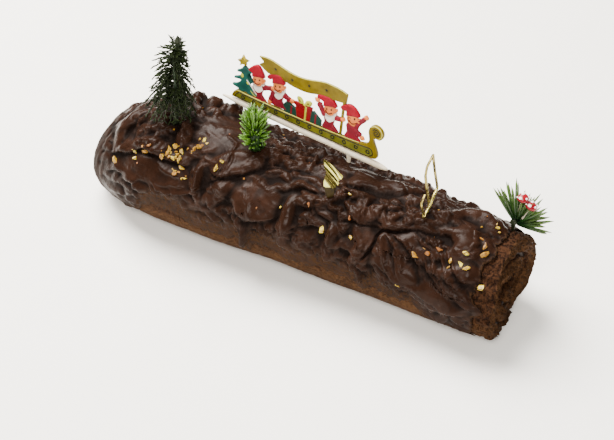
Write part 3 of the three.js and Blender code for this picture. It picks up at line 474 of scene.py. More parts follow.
def lump_height(x, s):
    """Height of the rounded lumps, each with a crease where it meets the next."""
    total = np.zeros(np.shape(x))
    for px, ps, long, wide, turn, high in DOLLOPS:
        dx, ds = x - px, s - ps
        near = (np.abs(dx) < long) & (np.abs(ds) < long + wide)
        if near.any():
            away = oval(dx[near], ds[near], long, wide, turn)
            total[near] = np.maximum(total[near], high * np.maximum(1 - away, 0) ** 0.62)
    return total


def stroke_height(x, s):
    """Ridges of the spatula and runs of chocolate; a height below 0 makes a groove."""
    height = np.zeros(np.shape(x))
    for wide, high, places in STROKES:
        away, share = distance_to_path(x, s, [(px, arc_place(pa)) for px, pa in places])
        swell = np.minimum(1, 0.35 + 3 * np.minimum(share, 1 - share))
        if high > 0:
            crest = 1 - np.minimum(away / (wide * (0.6 + 0.4 * swell)), 1) ** STROKE_FULLNESS
        else:
            crest = np.exp(-(away / (wide * 0.7)) ** 2)
        height = height + high * swell * crest * STROKE_SHARE
    return height


def ledge_height(x, s):
    """Steps where a layer of chocolate ends, with a trough below each."""
    height = np.zeros(np.shape(x))
    for high, reach, places in LEDGES:
        side = 1 if places[0][1] > 0 else -1
        above = side * (arc_place(along(places, x)) - s)
        ends = smooth((x - places[0][0]) / LEDGE_ENDS) * smooth((places[-1][0] - x) / LEDGE_ENDS)
        step = smooth(above / LEDGE_STEP + 0.5)
        upper = step * np.exp(-np.maximum(above, 0) / reach)
        trough = 0.5 * (1 - step) * np.exp(-np.maximum(-above, 0) / LEDGE_TROUGH)
        height = height + high * ends * (upper - trough)
    return height


def relief(x, angle):
    """Fine relief of the coat in millimetres, and its smoothness."""
    s = arc_place(angle)
    bend_x = x + 2.2 * grain(x / 12, s / 12, 31) + 0.4 * grain(x / 4, s / 4, 33)
    bend_s = s + 2.2 * grain(x / 12 + 7, s / 12, 32) + 0.4 * grain(x / 4 + 9, s / 4, 34)
    calm = smoothness(x, s)
    rough = 1 - SMOOTHING * calm
    height = stroke_height(bend_x, bend_s) + ledge_height(bend_x, bend_s)
    height += lump_height(bend_x, bend_s) * (0.5 + 0.65 * rough)
    # The closed end is calmer towards its tip and down its front.
    settled = 1 - 0.6 * smooth((-126 - x) / 16) * smooth((angle - 60) / 20)
    rough = rough * end_scale(x, COAT_END - 4) * settled
    wide_lumps = np.abs(grain(bend_x / 14, bend_s / 9, 41)) ** 0.8 - MEAN_LUMP
    close_lumps = np.abs(grain(bend_x / 7 + 3, bend_s / 5, 46)) ** 0.8 - MEAN_LUMP
    height += rough * (WIDE_LUMPS * wide_lumps + CLOSE_LUMPS * close_lumps)
    dragged = grain((x + 0.7 * s) / 12, (s - 0.35 * x) / 2.6, 44)
    height += (0.20 + 0.10 * rough) * dragged * smooth(0.4 + grain(x / 17, s / 17, 45) * 2)
    ripple = np.hypot(x - PRINT_MIDDLE[0], s - arc_place(PRINT_MIDDLE[1]))
    shown = smooth(1.7 - np.abs(ripple - PRINT_RADIUS) / 4.5) * smooth((x + 60) / 4)
    height += PRINT_HEIGHT * np.sin(ripple * math.tau / PRINT_PITCH) * shown
    return height, calm


def coat_thickness(x, angle):
    fine, calm = relief(x, angle)
    return np.maximum(THINNEST_COAT, cad_thickness(x, angle) * 0.9 + fine), calm


def coat_point(x, angle):
    """A point on the plain coat, where a pick stands."""
    r = (roll_radius(x, angle) + GAP + cad_thickness(x, angle)) * end_scale(x, COAT_END)
    return on_section(x, angle, r)


def ragged(table, x, seed):
    """Height of the coat's ragged lower edge over the table."""
    fine = 2.2 * rolling_noise(x / 5.5, seed, 5) + 1.4 * rolling_noise(x / 2.6, seed, 9)
    return np.maximum(LOWEST_EDGE, along(table, x) + fine + 0.8 * rolling_noise(x / 1.1, seed, 13))


def edge_angle(x, height, side):
    """The angle at which the coat's surface comes down to a height over the table."""
    angles = np.linspace(58, COAT_ARC, 305)
    grid_x, grid_a = np.meshgrid(x, angles, indexing="ij")
    r = (roll_radius(grid_x, side * grid_a) + GAP + COAT) * end_scale(grid_x, COAT_END)
    z = centre_line(grid_x) + r * np.cos(np.radians(grid_a))
    under = z <= height[:, None]
    first = np.where(under.any(axis=1), under.argmax(axis=1), len(angles) - 1)
    return angles[first]


def broken_edge(angle):
    """x of the coat's broken edge beside the cut end."""
    turn = np.mod(angle, 360)
    k = turn / 10
    broken = 3.2 * rolling_noise(k / 2.2, 1.0, 21) + 2.2 * rolling_noise(k / 0.9, 2.0, 22)
    bare = 2.6 * smooth(1.3 - np.abs(turn - 35) / 14) + 2.2 * smooth(1.3 - np.abs(turn - 68) / 6)
    shard = 6 * smooth(1.3 - np.abs(turn - 80) / 7)
    return CRUMB_EDGE - 2.4 + 0.8 * broken - bare + shard + 0.8 * rolling_noise(k * 3.1, 5.0, 23)


# ---------- mesh making ----------

# Points closer than this, in metres, are welded.
WELD = 2e-6


def in_scene(name, data):
    """A new object at the origin of the scene."""
    made = bpy.data.objects.new(name, data)
    bpy.context.scene.collection.objects.link(made)
    return made


def mark_points(mesh, marks, kind="FLOAT"):
    """Gives the points of a mesh an attribute for each mark."""
    for key, values in marks.items():
        layer = mesh.attributes.new(key, kind, "POINT")
        field = "vector" if kind == "FLOAT_VECTOR" else "value"
        layer.data.foreach_set(field, np.asarray(values, np.float32).ravel())


def new_piece(name, points, faces, look, smooth_faces=True, marks=None):
    """A mesh piece from points in log millimetres."""
    mesh = bpy.data.meshes.new(name)
    placed = (np.asarray(points, float) + LOG_PLACE) * MM
    mesh.from_pydata(placed.tolist(), [], [list(map(int, f)) for f in faces])
    mark_points(mesh, marks or {})
    tool = bmesh.new()
    tool.from_mesh(mesh)
    bmesh.ops.remove_doubles(tool, verts=tool.verts, dist=WELD)
    loose = [v for v in tool.verts if not v.link_faces]
    bmesh.ops.delete(tool, geom=loose, context="VERTS")
    bmesh.ops.recalc_face_normals(tool, faces=tool.faces)
    if tool.calc_volume(signed=True) < 0:
        bmesh.ops.reverse_faces(tool, faces=tool.faces)
    for face in tool.faces:
        face.smooth = smooth_faces
    tool.to_mesh(mesh)
    tool.free()
    mesh.materials.append(look)
    return in_scene(name, mesh)


def finish_piece(piece, slot, *nodes):
    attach(piece, "root")
    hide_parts(*nodes)


def grid_faces(rows, columns, start=0, flip=False):
    r = np.arange(rows - 1)[:, None] * columns
    c = np.arange(columns - 1)[None, :]
    a = (start + r + c).ravel()
    quads = np.stack([a, a + 1, a + columns + 1, a + columns], axis=1)
    return quads[:, ::-1] if flip else quads


def ring_faces(rings, sides):
    """Faces between closed rings of points that follow each other."""
    faces = []
    for j in range(rings - 1):
        for k in range(sides):
            a, b = j * sides + k, j * sides + (k + 1) % sides
            faces.append((a, b, b + sides, a + sides))
    return faces


def boundary_of(rows, columns, start=0):
    """Indices once round the rim of a grid."""
    top = [start + c for c in range(columns)]
    right = [start + r * columns + columns - 1 for r in range(1, rows)]
    bottom = [start + (rows - 1) * columns + c for c in range(columns - 2, -1, -1)]
    left = [start + r * columns for r in range(rows - 2, 0, -1)]
    return top + right + bottom + left


# ---------- nodes and finishes ----------

def set_inputs(tree, node, values):
    """Sets a node's inputs; an output socket among the values is linked instead."""
    for key, value in values.items():
        if isinstance(value, bpy.types.NodeSocket):
            tree.links.new(value, node.inputs[key])
        else:
            node.inputs[key].default_value = value


def add_node(tree, kind, values=None, **properties):
    node = tree.nodes.new(kind)
    for key, value in properties.items():
        setattr(node, key, value)
    set_inputs(tree, node, values or {})
    return node


class Recipe:
    """A finish mixed node by node around one shader."""

    def __init__(self, name, colour, rough, shine=0.5, metal=0.0):
        self.look = bpy.data.materials.new(name)
        self.look.use_nodes = True
        self.tree = self.look.node_tree
        self.shader = self.tree.nodes["Principled BSDF"]
        self.set(self.shader, {"Base Color": (*colour, 1), "Roughness": rough})
        self.set(self.shader, {"Specular IOR Level": shine, "Metallic": metal})
        self.place = self.add("ShaderNodeTexCoord").outputs["Object"]

    def set(self, node, values):
        set_inputs(self.tree, node, values)

    def add(self, kind, values=None, **properties):
        return add_node(self.tree, kind, values, **properties)

    def noise(self, size_mm, detail=3, rough=0.55):
        values = {"Vector": self.place, "Scale": 1000 / size_mm, "Detail": detail, "Roughness": rough}
        return self.add("ShaderNodeTexNoise", values).outputs["Fac"]

    def cells(self, size_mm):
        values = {"Vector": self.place, "Scale": 1000 / size_mm}
        return self.add("ShaderNodeTexVoronoi", values).outputs["Distance"]

    def ramp(self, value, stops):
        node = self.add("ShaderNodeValToRGB", {"Fac": value})
        band = node.color_ramp
        while len(band.elements) < len(stops):
            band.elements.new(0.5)
        for element, (at, colour) in zip(band.elements, stops):
            element.position = at
            element.color = (*colour, 1) if isinstance(colour, tuple) else (colour, colour, colour, 1)
        return node.outputs["Color"]

    def mix(self, factor, a, b):
        a, b = ((*value, 1) if isinstance(value, tuple) else value for value in (a, b))
        # A colour mix has its factor at input 0, its colours at 6 and 7, and its result at output 2.
        return self.add("ShaderNodeMix", {0: factor, 6: a, 7: b}, data_type="RGBA").outputs[2]

    def math(self, kind, a, b, clamp=False):
        return self.add("ShaderNodeMath", {0: a, 1: b}, operation=kind, use_clamp=clamp).outputs[0]

    def attribute(self, name):
        return self.add("ShaderNodeAttribute", attribute_name=name).outputs["Fac"]

    def paint(self, colour=None, rough=None):
        if colour is not None:
            self.set(self.shader, {"Base Color": colour})
        if rough is not None:
            self.set(self.shader, {"Roughness": rough})

    def bump(self, height, depth_mm, strength=1.0, over=None):
        values = {"Height": height, "Distance": depth_mm * MM, "Strength": strength}
        if over is not None:
            values["Normal"] = over
        return self.add("ShaderNodeBump", values).outputs["Normal"]

    def surface(self, normal):
        self.set(self.shader, {"Normal": normal})
        return self.look


def chocolate_finish():
    """Dark gloss with dull, crumbly places where the coat is thin, and painted shade in its creases and
    along its rim, which are also rougher.
    """
    mixing = Recipe("chocolate", (0.05, 0.02, 0.012), 0.38, 0.05)
    broad = mixing.noise(38, 4, 0.6)
    close = mixing.noise(7, 4, 0.6)
    dark, middle, light = (0.0092, 0.0036, 0.0018), (0.0162, 0.0069, 0.0040), (0.029, 0.0130, 0.0082)
    tone = mixing.ramp(mixing.mix(0.4, broad, close), [(0.33, dark), (0.52, middle), (0.7, light)])
    crumbs = mixing.noise(2.0, 5, 0.75)
    bare = mixing.math("MULTIPLY", mixing.attribute("thin"), mixing.ramp(crumbs, [(0.46, 0.0), (0.54, 1.0)]))
    # Painted shade: the creases and the coat's rim are darkened in colour; the same mask also raises their
    # roughness.
    painted_crease_shade = mixing.attribute("painted_crease_shade")
    tone = mixing.mix(mixing.math("MULTIPLY", painted_crease_shade, 0.9), tone, (0.0022, 0.0009, 0.0005))
    mixing.paint(mixing.mix(bare, tone, (0.034, 0.0158, 0.0066)))
    gloss = mixing.ramp(mixing.noise(11, 3, 0.6), [(0.3, 0.19), (0.7, 0.33)])
    gloss = mixing.mix(mixing.math("MAXIMUM", painted_crease_shade, mixing.attribute("dull")), gloss, (0.72, 0.72, 0.72))
    mixing.paint(rough=mixing.mix(bare, gloss, (0.85, 0.85, 0.85)))
    wild = mixing.math("SUBTRACT", 1.0, mixing.attribute("calm"), True)
    pebbled = mixing.math("MULTIPLY", mixing.noise(3.0, 4, 0.6), wild)
    patches = mixing.ramp(mixing.noise(9, 2), [(0.42, 0.25), (0.62, 1.0)])
    pricked = mixing.math("MULTIPLY", mixing.noise(1.3, 3, 0.6), patches)
    skin = mixing.bump(pricked, 0.30, 0.6, mixing.bump(pebbled, 0.7, 0.6))
    return mixing.surface(mixing.bump(bare, 0.5, 0.5, skin))


def sponge_finish():
    """Open crumb with painted shade in its holes, darker where the outside is toasted."""
    mixing = Recipe("sponge_crumb", (0.07, 0.03, 0.014), 0.95, 0.08)
    patch = mixing.noise(16, 4, 0.6)
    crumb = mixing.noise(2.2, 5, 0.75)
    base = mixing.ramp(patch, [(0.3, (0.046, 0.0200, 0.0074)), (0.7, (0.077, 0.0350, 0.0138))])
    toasted = mixing.math("MULTIPLY", mixing.attribute("toast"), 0.8, True)
    base = mixing.mix(toasted, base, (0.031, 0.0118, 0.0052))
    small_holes = mixing.ramp(crumb, [(0.36, 1.0), (0.5, 0.0)])
    large_holes = mixing.ramp(mixing.cells(2.3), [(0.14, 1.0), (0.42, 0.0)])
    pitted = mixing.math("MAXIMUM", small_holes, large_holes)
    # Painted shade: the crumb's holes are darkened in colour, more so where toasted; the bump below also
    # dents them.
    painted_hole_shade = mixing.math("MULTIPLY", pitted, mixing.ramp(toasted, [(0.0, 0.5), (0.6, 1.0)]))
    mixing.paint(mixing.mix(painted_hole_shade, base, (0.0075, 0.0026, 0.0012)))
    fine = mixing.bump(crumb, 1.0, 0.9)
    return mixing.surface(mixing.bump(pitted, -0.7, 0.7, fine))


def cream_finish():
    mixing = Recipe("chocolate_cream", (0.02, 0.008, 0.004), 0.6, 0.1)
    stops = [(0.3, (0.010, 0.0036, 0.0018)), (0.7, (0.024, 0.0095, 0.005))]
    mixing.paint(mixing.ramp(mixing.noise(4, 4), stops))
    return mixing.surface(mixing.bump(mixing.noise(1.4, 3), 0.3, 0.7))


def nut_finish():
    """Nuts from toasted orange to pale gold, with specks of brown skin."""
    mixing = Recipe("chopped_nut", (0.62, 0.42, 0.12), 0.5)
    stops = [(0.0, (0.20, 0.042, 0.004)), (0.35, (0.27, 0.112, 0.004)),
             (0.7, (0.42, 0.255, 0.009)), (1.0, (0.60, 0.48, 0.045))]
    tone = mixing.ramp(mixing.attribute("tone"), stops)
    specks = mixing.ramp(mixing.noise(1.7, 3), [(0.42, 0.85), (0.56, 0.0)])
    mixing.paint(mixing.mix(specks, tone, (0.15, 0.060, 0.007)))
    mixing.set(mixing.shader, {"Subsurface Weight": 0.15, "Subsurface Radius": (0.002, 0.001, 0.0005)})
    return mixing.surface(mixing.bump(mixing.noise(0.9, 3), 0.15, 0.6))


def moulded_finish(name, dark, light, rough, grain_mm=2.0, shine=0.22):
    """Moulded or printed plastic with slight clouding and orange peel."""
    mixing = Recipe(name, dark, rough, shine)
    cloud = mixing.noise(grain_mm * 3, 3)
    peel = mixing.noise(grain_mm * 2, 2)
    stops = [(0.35, max(rough - 0.07, 0.05)), (0.65, rough + 0.08)]
    mixing.paint(mixing.ramp(cloud, [(0.35, dark), (0.65, light)]), mixing.ramp(peel, stops))
    return mixing.surface(mixing.bump(mixing.noise(grain_mm, 2), 0.06, 0.5))


def leafy_finish(name, shade, light, rough, tip=None, shine=0.5):
    """Coloured plastic foliage, lighter towards the tips."""
    mixing = Recipe(name, shade, rough, shine)
    tone = mixing.ramp(mixing.attribute("tone"), [(0.0, shade), (1.0, light)])
    if tip:
        tone = mixing.mix(mixing.math("POWER", mixing.attribute("tip"), 2.0, True), tone, tip)
    mixing.paint(mixing.mix(mixing.ramp(mixing.noise(3, 2), [(0.4, 0.4), (0.62, 0.0)]), tone, shade))
    return mixing.surface(mixing.bump(mixing.noise(0.8, 2), 0.05, 0.4))


def foil_finish(name, dark, light, rough, tone=None):
    """Metal foil, clouded or toned by an attribute of its points."""
    mixing = Recipe(name, light, rough, metal=0.9)
    cloud = mixing.attribute(tone) if tone else mixing.noise(4, 3)
    stops = [(0.3, rough - 0.08), (0.7, rough + 0.14)]
    mixing.paint(mixing.ramp(cloud, [(0.3, dark), (0.7, light)]), mixing.ramp(mixing.noise(2.4, 3), stops))
    return mixing.surface(mixing.bump(mixing.noise(1.2, 2), 0.08, 0.5))


CHOCOLATE = chocolate_finish()
SPONGE = sponge_finish()
CREAM = cream_finish()
NUT = nut_finish()
DARK_FIR = leafy_finish("dark_fir_needles", (0.0045, 0.0080, 0.0022), (0.022, 0.034, 0.0085), 0.55,
                        shine=0.1)
FIR_TRUNK = moulded_finish("dark_fir_trunk", (0.012, 0.022, 0.010), (0.026, 0.040, 0.020), 0.45)
FIR_STEM = moulded_finish("dark_fir_stem", (0.010, 0.014, 0.005), (0.022, 0.028, 0.012), 0.5)
BRIGHT_FIR = leafy_finish("bright_fir_leaves", (0.003, 0.022, 0.002), (0.105, 0.230, 0.020), 0.2,
                          tip=(0.100, 0.215, 0.016), shine=0.45)
BRIGHT_CORE = moulded_finish("bright_fir_core", (0.004, 0.016, 0.002), (0.010, 0.032, 0.004), 0.4)
IVORY = moulded_finish("ivory_plastic", (0.56, 0.47, 0.34), (0.68, 0.59, 0.45), 0.34, 3.0)
OLIVE_GOLD = moulded_finish("olive_gold_paint", (0.105, 0.071, 0.0008), (0.160, 0.112, 0.002), 0.42,
                            shine=0.12)
DECK_OLIVE = moulded_finish("deck_olive_paint", (0.080, 0.078, 0.004), (0.135, 0.125, 0.008), 0.4)
STAR_GOLD = moulded_finish("star_gold_paint", (0.15, 0.105, 0.002), (0.30, 0.22, 0.006), 0.32)
RIM_HIGHLIGHT = moulded_finish("rim_highlight_paint", (0.40, 0.36, 0.05), (0.52, 0.48, 0.10), 0.4)
LINE = moulded_finish("dark_line_paint", (0.003, 0.004, 0.001), (0.006, 0.007, 0.002), 0.45)
BROWN_LINE = moulded_finish("brown_line_paint", (0.07, 0.008, 0.002), (0.10, 0.012, 0.004), 0.45)
RED_CLOTH = moulded_finish("red_paint", (0.20, 0.0004, 0.009), (0.28, 0.0007, 0.013), 0.46, shine=0.12)
DARK_RED = moulded_finish("dark_red_paint", (0.13, 0.0003, 0.009), (0.20, 0.0005, 0.012), 0.42)
GIFT_RED = moulded_finish("parcel_red_paint", (0.14, 0.0006, 0.003), (0.20, 0.0008, 0.004), 0.42)
WINE = moulded_finish("wine_paint", (0.10, 0.001, 0.006), (0.17, 0.002, 0.01), 0.42)
SKIN = moulded_finish("skin_paint", (0.55, 0.130, 0.022), (0.68, 0.19, 0.045), 0.45, shine=0.15)
BEARD = moulded_finish("beard_paint", (0.70, 0.60, 0.52), (0.84, 0.77, 0.70), 0.45, 1.2)
PARCEL_GREEN = moulded_finish("parcel_green_paint", (0.003, 0.022, 0.015), (0.006, 0.04, 0.026), 0.4)
TEAL = moulded_finish("teal_paint", (0.002, 0.040, 0.034), (0.005, 0.075, 0.056), 0.4)
BOW = moulded_finish("bow_paint", (0.30, 0.30, 0.014), (0.44, 0.44, 0.04), 0.4)
# The star's three foils are one gold at three brightnesses; the ribs' lighter foils are painted highlights.
RIB_HIGHLIGHT_FOIL = foil_finish("rib_highlight_foil", (0.46, 0.38, 0.06), (0.84, 0.76, 0.24), 0.22)
# The leaf's foil goes from dark to light by a painted highlight marked on its points.
LEAF_FOIL = foil_finish("leaf_foil", (0.060, 0.046, 0.008), (0.60, 0.56, 0.16), 0.24, "foil_highlight")
STAR_FOIL = foil_finish("star_foil", (0.10, 0.066, 0.012), (0.34, 0.26, 0.08), 0.28)
RIB_SHEEN_FOIL = foil_finish("rib_sheen_foil", (0.24, 0.18, 0.04), (0.58, 0.48, 0.16), 0.26)
AMBER = moulded_finish("amber_stem", (0.014, 0.009, 0.002), (0.034, 0.022, 0.005), 0.4, shine=0.1)
PINE = leafy_finish("sprig_needles", (0.0012, 0.009, 0.0035), (0.013, 0.050, 0.011), 0.32,
                    tip=(0.085, 0.150, 0.020), shine=0.3)
CAP_RED = moulded_finish("mushroom_red", (0.15, 0.0004, 0.006), (0.23, 0.0007, 0.009), 0.24, shine=0.3)
STALK = moulded_finish("mushroom_stalk", (0.30, 0.25, 0.20), (0.44, 0.38, 0.32), 0.4)
CAP_WHITE = moulded_finish("mushroom_white", (0.78, 0.74, 0.68), (0.86, 0.83, 0.78), 0.3)


# ---------- coat ----------

# Columns and rows of the coat's grids; four steps of the outside's rim meet one of the inside's.
OUTSIDE_GRID = (481, 189)
INSIDE_GRID = (121, 48)


def softened(grid, reach_rows, reach_columns):
    """The grid blurred by a box, twice."""
    for _ in range(2):
        for axis, reach in ((0, reach_rows), (1, reach_columns)):
            count = grid.shape[axis]
            total = np.cumsum(np.insert(grid, 0, 0, axis=axis), axis=axis)
            here = np.arange(count)
            high, low = np.minimum(here + reach + 1, count), np.maximum(here - reach, 0)
            shape = (-1, 1) if axis == 0 else (1, -1)
            grid = (np.take(total, high, axis) - np.take(total, low, axis)) / (high - low).reshape(shape)
    return grid


def coat_places(columns, rows, start):
    """Grid of x and angle over the coat, the angles of its two lower edges, and x of its broken edge."""
    u = np.linspace(0, 1, columns)
    u = u + 0.012 * np.sin(u * math.pi) * (u - 0.4)
    v = np.linspace(0, 1, rows)
    v = v - 0.030 * np.sin(v * math.tau)
    cut = broken_edge(COAT_ARC * (1 - 2 * v))
    close_at_tip = np.where(u < 0.1, (u / 0.1) ** 1.7 * 0.1, u)
    x = start + (cut - start) * close_at_tip[:, None]
    table_x = np.linspace(COAT_END, CUT_END + 4, 1400)
    away_from_tip = smooth((table_x - COAT_END - 2) / 16)
    edges = []
    for table, seed, side in ((FRONT_EDGE, 1.0, 1), (BACK_EDGE, 4.0, -1)):
        edge = edge_angle(table_x, ragged(table, table_x, seed), side)
        edge = TIP_EDGE + (edge - TIP_EDGE) * away_from_tip
        edges.append(side * np.interp(x, table_x, edge))
    front, back = edges
    return x, front + (back - front) * v, front, back, cut


def coat_inside():
    """Grid of points of the coat's inside, close to the sponge."""
    x, angle, *_ = coat_places(*INSIDE_GRID, COAT_END + 1.4)
    r = roll_radius(x, angle) * end_scale(x, COAT_END + 2.2) + 0.12
    return on_section(x, angle, np.maximum(r, 0.02))


def coat_outside():
    """Grid of points of the coat's outside, and the marks that its finish uses."""
    x, angle, front, back, cut = coat_places(*OUTSIDE_GRID, COAT_END)
    thick, calm = coat_thickness(x, angle)
    # Painted shade: where the coat lies below its blurred self, in its creases, it is marked to be darkened.
    painted_crease_shade = np.clip((softened(thick, 7, 4) - thick) / 1.1, 0, 1)
    from_low = np.minimum(arc_place(front - angle), arc_place(angle - back))
    from_cut = cut - x
    edge = np.minimum(from_low, from_cut)
    # Along the middle the coat thins to a film over its edge, and everywhere it ends in a rounded lip.
    film = smooth((x + 122) / 16) * smooth((100 - x) / 30)
    least = 0.14 + 0.1 * (1 - film)
    spread = least + (1 - least) * smooth((edge - 5 * film) / (9 - film))
    lip = 1.3 + 0.9 * (0.5 + 0.5 * grain(x / 9, angle / 20, 51))
    rounded = np.sqrt(1 - (1 - np.clip(edge / lip, 0, 1)) ** 2)
    thick = np.maximum(0.2, thick * rounded * spread + 0.15)
    # Thick places sag down the sides.
    sag = 0.5 * (thick - 3.6) * smooth(edge / 5) * np.sin(np.radians(angle)) * smooth((x + 168) / 14)
    r = (roll_radius(x, angle) + GAP + thick) * end_scale(x, COAT_END)
    points = on_section(x, angle + np.degrees(sag / ARC_RADIUS), r)
    thin = np.maximum(smooth(1.3 - from_low / (7 + 7 * film)), smooth(1.1 - from_cut / 2.2))
    # Painted shade also runs along the coat's rim, within about a millimetre of its edge.
    painted_crease_shade = np.maximum(painted_crease_shade, smooth(1.4 - edge / 1.1))
    dull = np.maximum(smooth((-144 - x) / 16), 0.6 * thin)
    dull = np.maximum(dull, 0.9 * smooth((30 - points[..., 2]) / 16))
    return points, {"thin": thin, "calm": calm, "painted_crease_shade": painted_crease_shade, "dull": dull}


def make_coat():
    outside, marks = coat_outside()
    inside = coat_inside()
    count, count_inside = math.prod(OUTSIDE_GRID), math.prod(INSIDE_GRID)
    points = np.concatenate([outside.reshape(-1, 3), inside.reshape(-1, 3)])
    faces = [*grid_faces(*OUTSIDE_GRID), *grid_faces(*INSIDE_GRID, count, True)]
    rim, inner = boundary_of(*OUTSIDE_GRID), boundary_of(*INSIDE_GRID, count)
    for k, p in enumerate(inner):
        a, b, c, d, e = (rim[(4 * k + j) % len(rim)] for j in range(5))
        q = inner[(k + 1) % len(inner)]
        faces += [(b, a, p), (c, b, p), (c, p, q), (d, c, q), (e, d, q)]
    marks = {key: np.concatenate([values.ravel(), np.zeros(count_inside)]) for key, values in marks.items()}
    coat = new_piece("chocolate_coat", points, faces, CHOCOLATE, marks=marks)
    finish_piece(coat, "icing", "icing")


# ---------- sponge and cream ----------

# How many layers of crumb the sponge's ends have between the sheet's outside and its inside.
CRUMB_LAYERS = 14
# The step of the spiral where the sheet goes under its own first turn.
COVERED_STEP = 17.9
CRUMB_GROW = 0.1
FLOOR_CLEAR = 1.2


def spaced(*stops):
    """Places from stop to stop; each stop is a place and the count of steps that follow it."""
    parts = [np.linspace(a, b, steps + 1)[:-1] for (a, steps), (b, _) in zip(stops, stops[1:])]
    return np.concatenate([*parts, [stops[-1][0]]])


def crumbled_end(x, angle, share):
    """x, moved at the cut end to follow its fold and its torn crumb."""
    torn = 1.5 * grain(angle / 17, share * 8, 64) + 0.9 * grain(angle / 6, share * 19, 65)
    fold = 1.5 + 2.2 * np.sin(2 * np.radians(angle) + share * 5) - 4.5 * (1 - share)
    return np.where(x < CUT_END, x, x + fold + torn)


def crumb_height(x, angle):
    """How far the open crumb of the sponge's outside stands out, in millimetres."""
    s = arc_place(angle)
    pits = np.abs(grain(x / 2.6, s / 2.4, 61)) * 0.9 + np.abs(grain(x / 1.5, s / 1.4, 62)) * 0.5
    torn = 1.5 * grain(x / 4.2, s / 4.6, 68) - 1.9 * np.abs(grain(x / 2.3, s / 2.4, 69))
    height = -0.15 - 0.75 * pits + 0.175 * grain(x / 12, s / 8, 63) + smooth((x - 124) / 14) * torn
    above_floor = centre_line(x) + roll_radius(x, angle) * np.cos(np.radians(angle)) > FLOOR_CLEAR
    return np.where(above_floor, np.minimum(height, CRUMB_GROW), 0)


def sheet_ring(steps):
    """Angles and shares once round the rolled sheet's section: outside, inner end, inside, outer end."""
    angles, out, inn = step_angle(steps), sheet_outer(steps), sheet_inner(steps)
    through = np.arange(1, CRUMB_LAYERS) / CRUMB_LAYERS
    same = np.ones(CRUMB_LAYERS - 1)
    ring_angles = [angles, angles[-1] * same, angles[::-1], angles[0] * same]
    inner_end, outer_end = out[-1] + (inn[-1] - out[-1]) * through, inn[0] + (out[0] - inn[0]) * through
    ring_shares = [out, inner_end, inn[::-1], outer_end]
    return np.concatenate(ring_angles), np.concatenate(ring_shares)


def end_grid(count, base, inside):
    """Indices over a sponge end: its rim in the ring that begins at base, new points from inside on."""
    last = CRUMB_LAYERS - 1
    index = np.zeros((count, CRUMB_LAYERS + 1), int)
    index[1:-1, 1:-1] = inside + np.arange((count - 2) * last).reshape(count - 2, last)
    index[:, 0] = base + np.arange(count)
    index[-1, 1:-1] = base + count + np.arange(last)
    index[:, -1] = base + count + last + np.arange(count)[::-1]
    index[0, 1:-1] = base + 2 * count + last + np.arange(last)[::-1]
    return index


def end_points(steps, section):
    """The new points of a sponge end; the cut end shows torn crumb."""
    k = np.repeat(steps[1:-1], CRUMB_LAYERS - 1)
    t = np.tile(np.arange(1, CRUMB_LAYERS) / CRUMB_LAYERS, len(steps) - 2)
    x = np.full(len(k), float(section))
    angle, share = step_angle(k), sheet_outer(k) + (sheet_inner(k) - sheet_outer(k)) * t
    points = roll_point(x, angle, share)
    points[:, 0] = crumbled_end(x, angle, share)
    if section == CUT_END:
        s = arc_place(angle) * share
        crumb = 2.2 * grain(s / 3.4, t * 4 + k * 0.7, 66) - 2.8 * np.abs(grain(s / 1.7, t * 8, 67))
        points[:, 0] += crumb * (1 - (2 * t - 1) ** 4) + 2.0 * (1 - (2 * t - 1) ** 2)
    points[:, 2] = np.maximum(points[:, 2], 0.0)
    return points


def make_sponge():
    steps = spaced((0, 6), (2.4, 71), (8.4, 15), (13, 19), (COVERED_STEP, 73), (SPIRAL_STEPS, 0))
    sections = spaced((SPONGE_START, 19), (-130, 83), (122, 31), (CUT_END, 0))
    ring_angles, ring_shares = sheet_ring(steps)
    count = len(ring_angles)
    x, angle, share = np.broadcast_arrays(sections[:, None], ring_angles, ring_shares)
    seen = (np.arange(count) < len(steps)) & (ring_angles > step_angle(COVERED_STEP))
    body = roll_point(x, angle, share, np.where(seen, crumb_height(x, angle), 0))
    body[..., 0] = crumbled_end(x, angle, share)
    body[..., 2] = np.maximum(body[..., 2], 0.0)
    points = [body.reshape(-1, 3)]
    toast = [smooth((body[..., 2] - 22) / 12).ravel()]
    faces = ring_faces(len(sections), count)
    total = len(points[0])
    for row in (0, len(sections) - 1):
        index = end_grid(len(steps), row * count, total)
        corners = [index[:-1, :-1], index[1:, :-1], index[1:, 1:], index[:-1, 1:]]
        quads = np.stack(corners, axis=-1).reshape(-1, 4)
        faces += [*(quads[:, ::-1] if row else quads)]
        fresh = end_points(steps, sections[row])
        points.append(fresh)
        toast.append(np.zeros(len(fresh)))
        total += len(fresh)
    marks = {"toast": np.concatenate(toast)}
    sponge = new_piece("sponge_roll", np.concatenate(points), faces, SPONGE, marks=marks)
    finish_piece(sponge, "sponge", "sponge")


def make_cream():
    k = np.linspace(2, SPIRAL_STEPS - STEPS_PER_TURN, 110)
    angles = np.concatenate([step_angle(k), step_angle(k)[::-1]])
    shares = np.concatenate([sheet_outer(k + STEPS_PER_TURN), sheet_inner(k)[::-1]])
    sections = spaced((SPONGE_START + 1, 49), (140, 5), (CUT_END, 0))
    x, angle, share = np.broadcast_arrays(sections[:, None], angles, shares)
    body = roll_point(x, angle, share, np.repeat([0.06, -0.06], len(k)))
    body[..., 0] = crumbled_end(x, angle, share) - 2.4 * smooth((x - 140) / 10)
    count = len(angles)
    faces = ring_faces(len(sections), count)
    for row in (0, len(sections) - 1):
        base = row * count
        for i in range(len(k) - 1):
            quad = (base + i, base + i + 1, base + count - 2 - i, base + count - 1 - i)
            faces.append(quad if row else quad[::-1])
    cream = new_piece("cream_spiral", body.reshape(-1, 3), faces, CREAM)
    finish_piece(cream, "filling", "filling")


# ---------- scattering with geometry nodes ----------

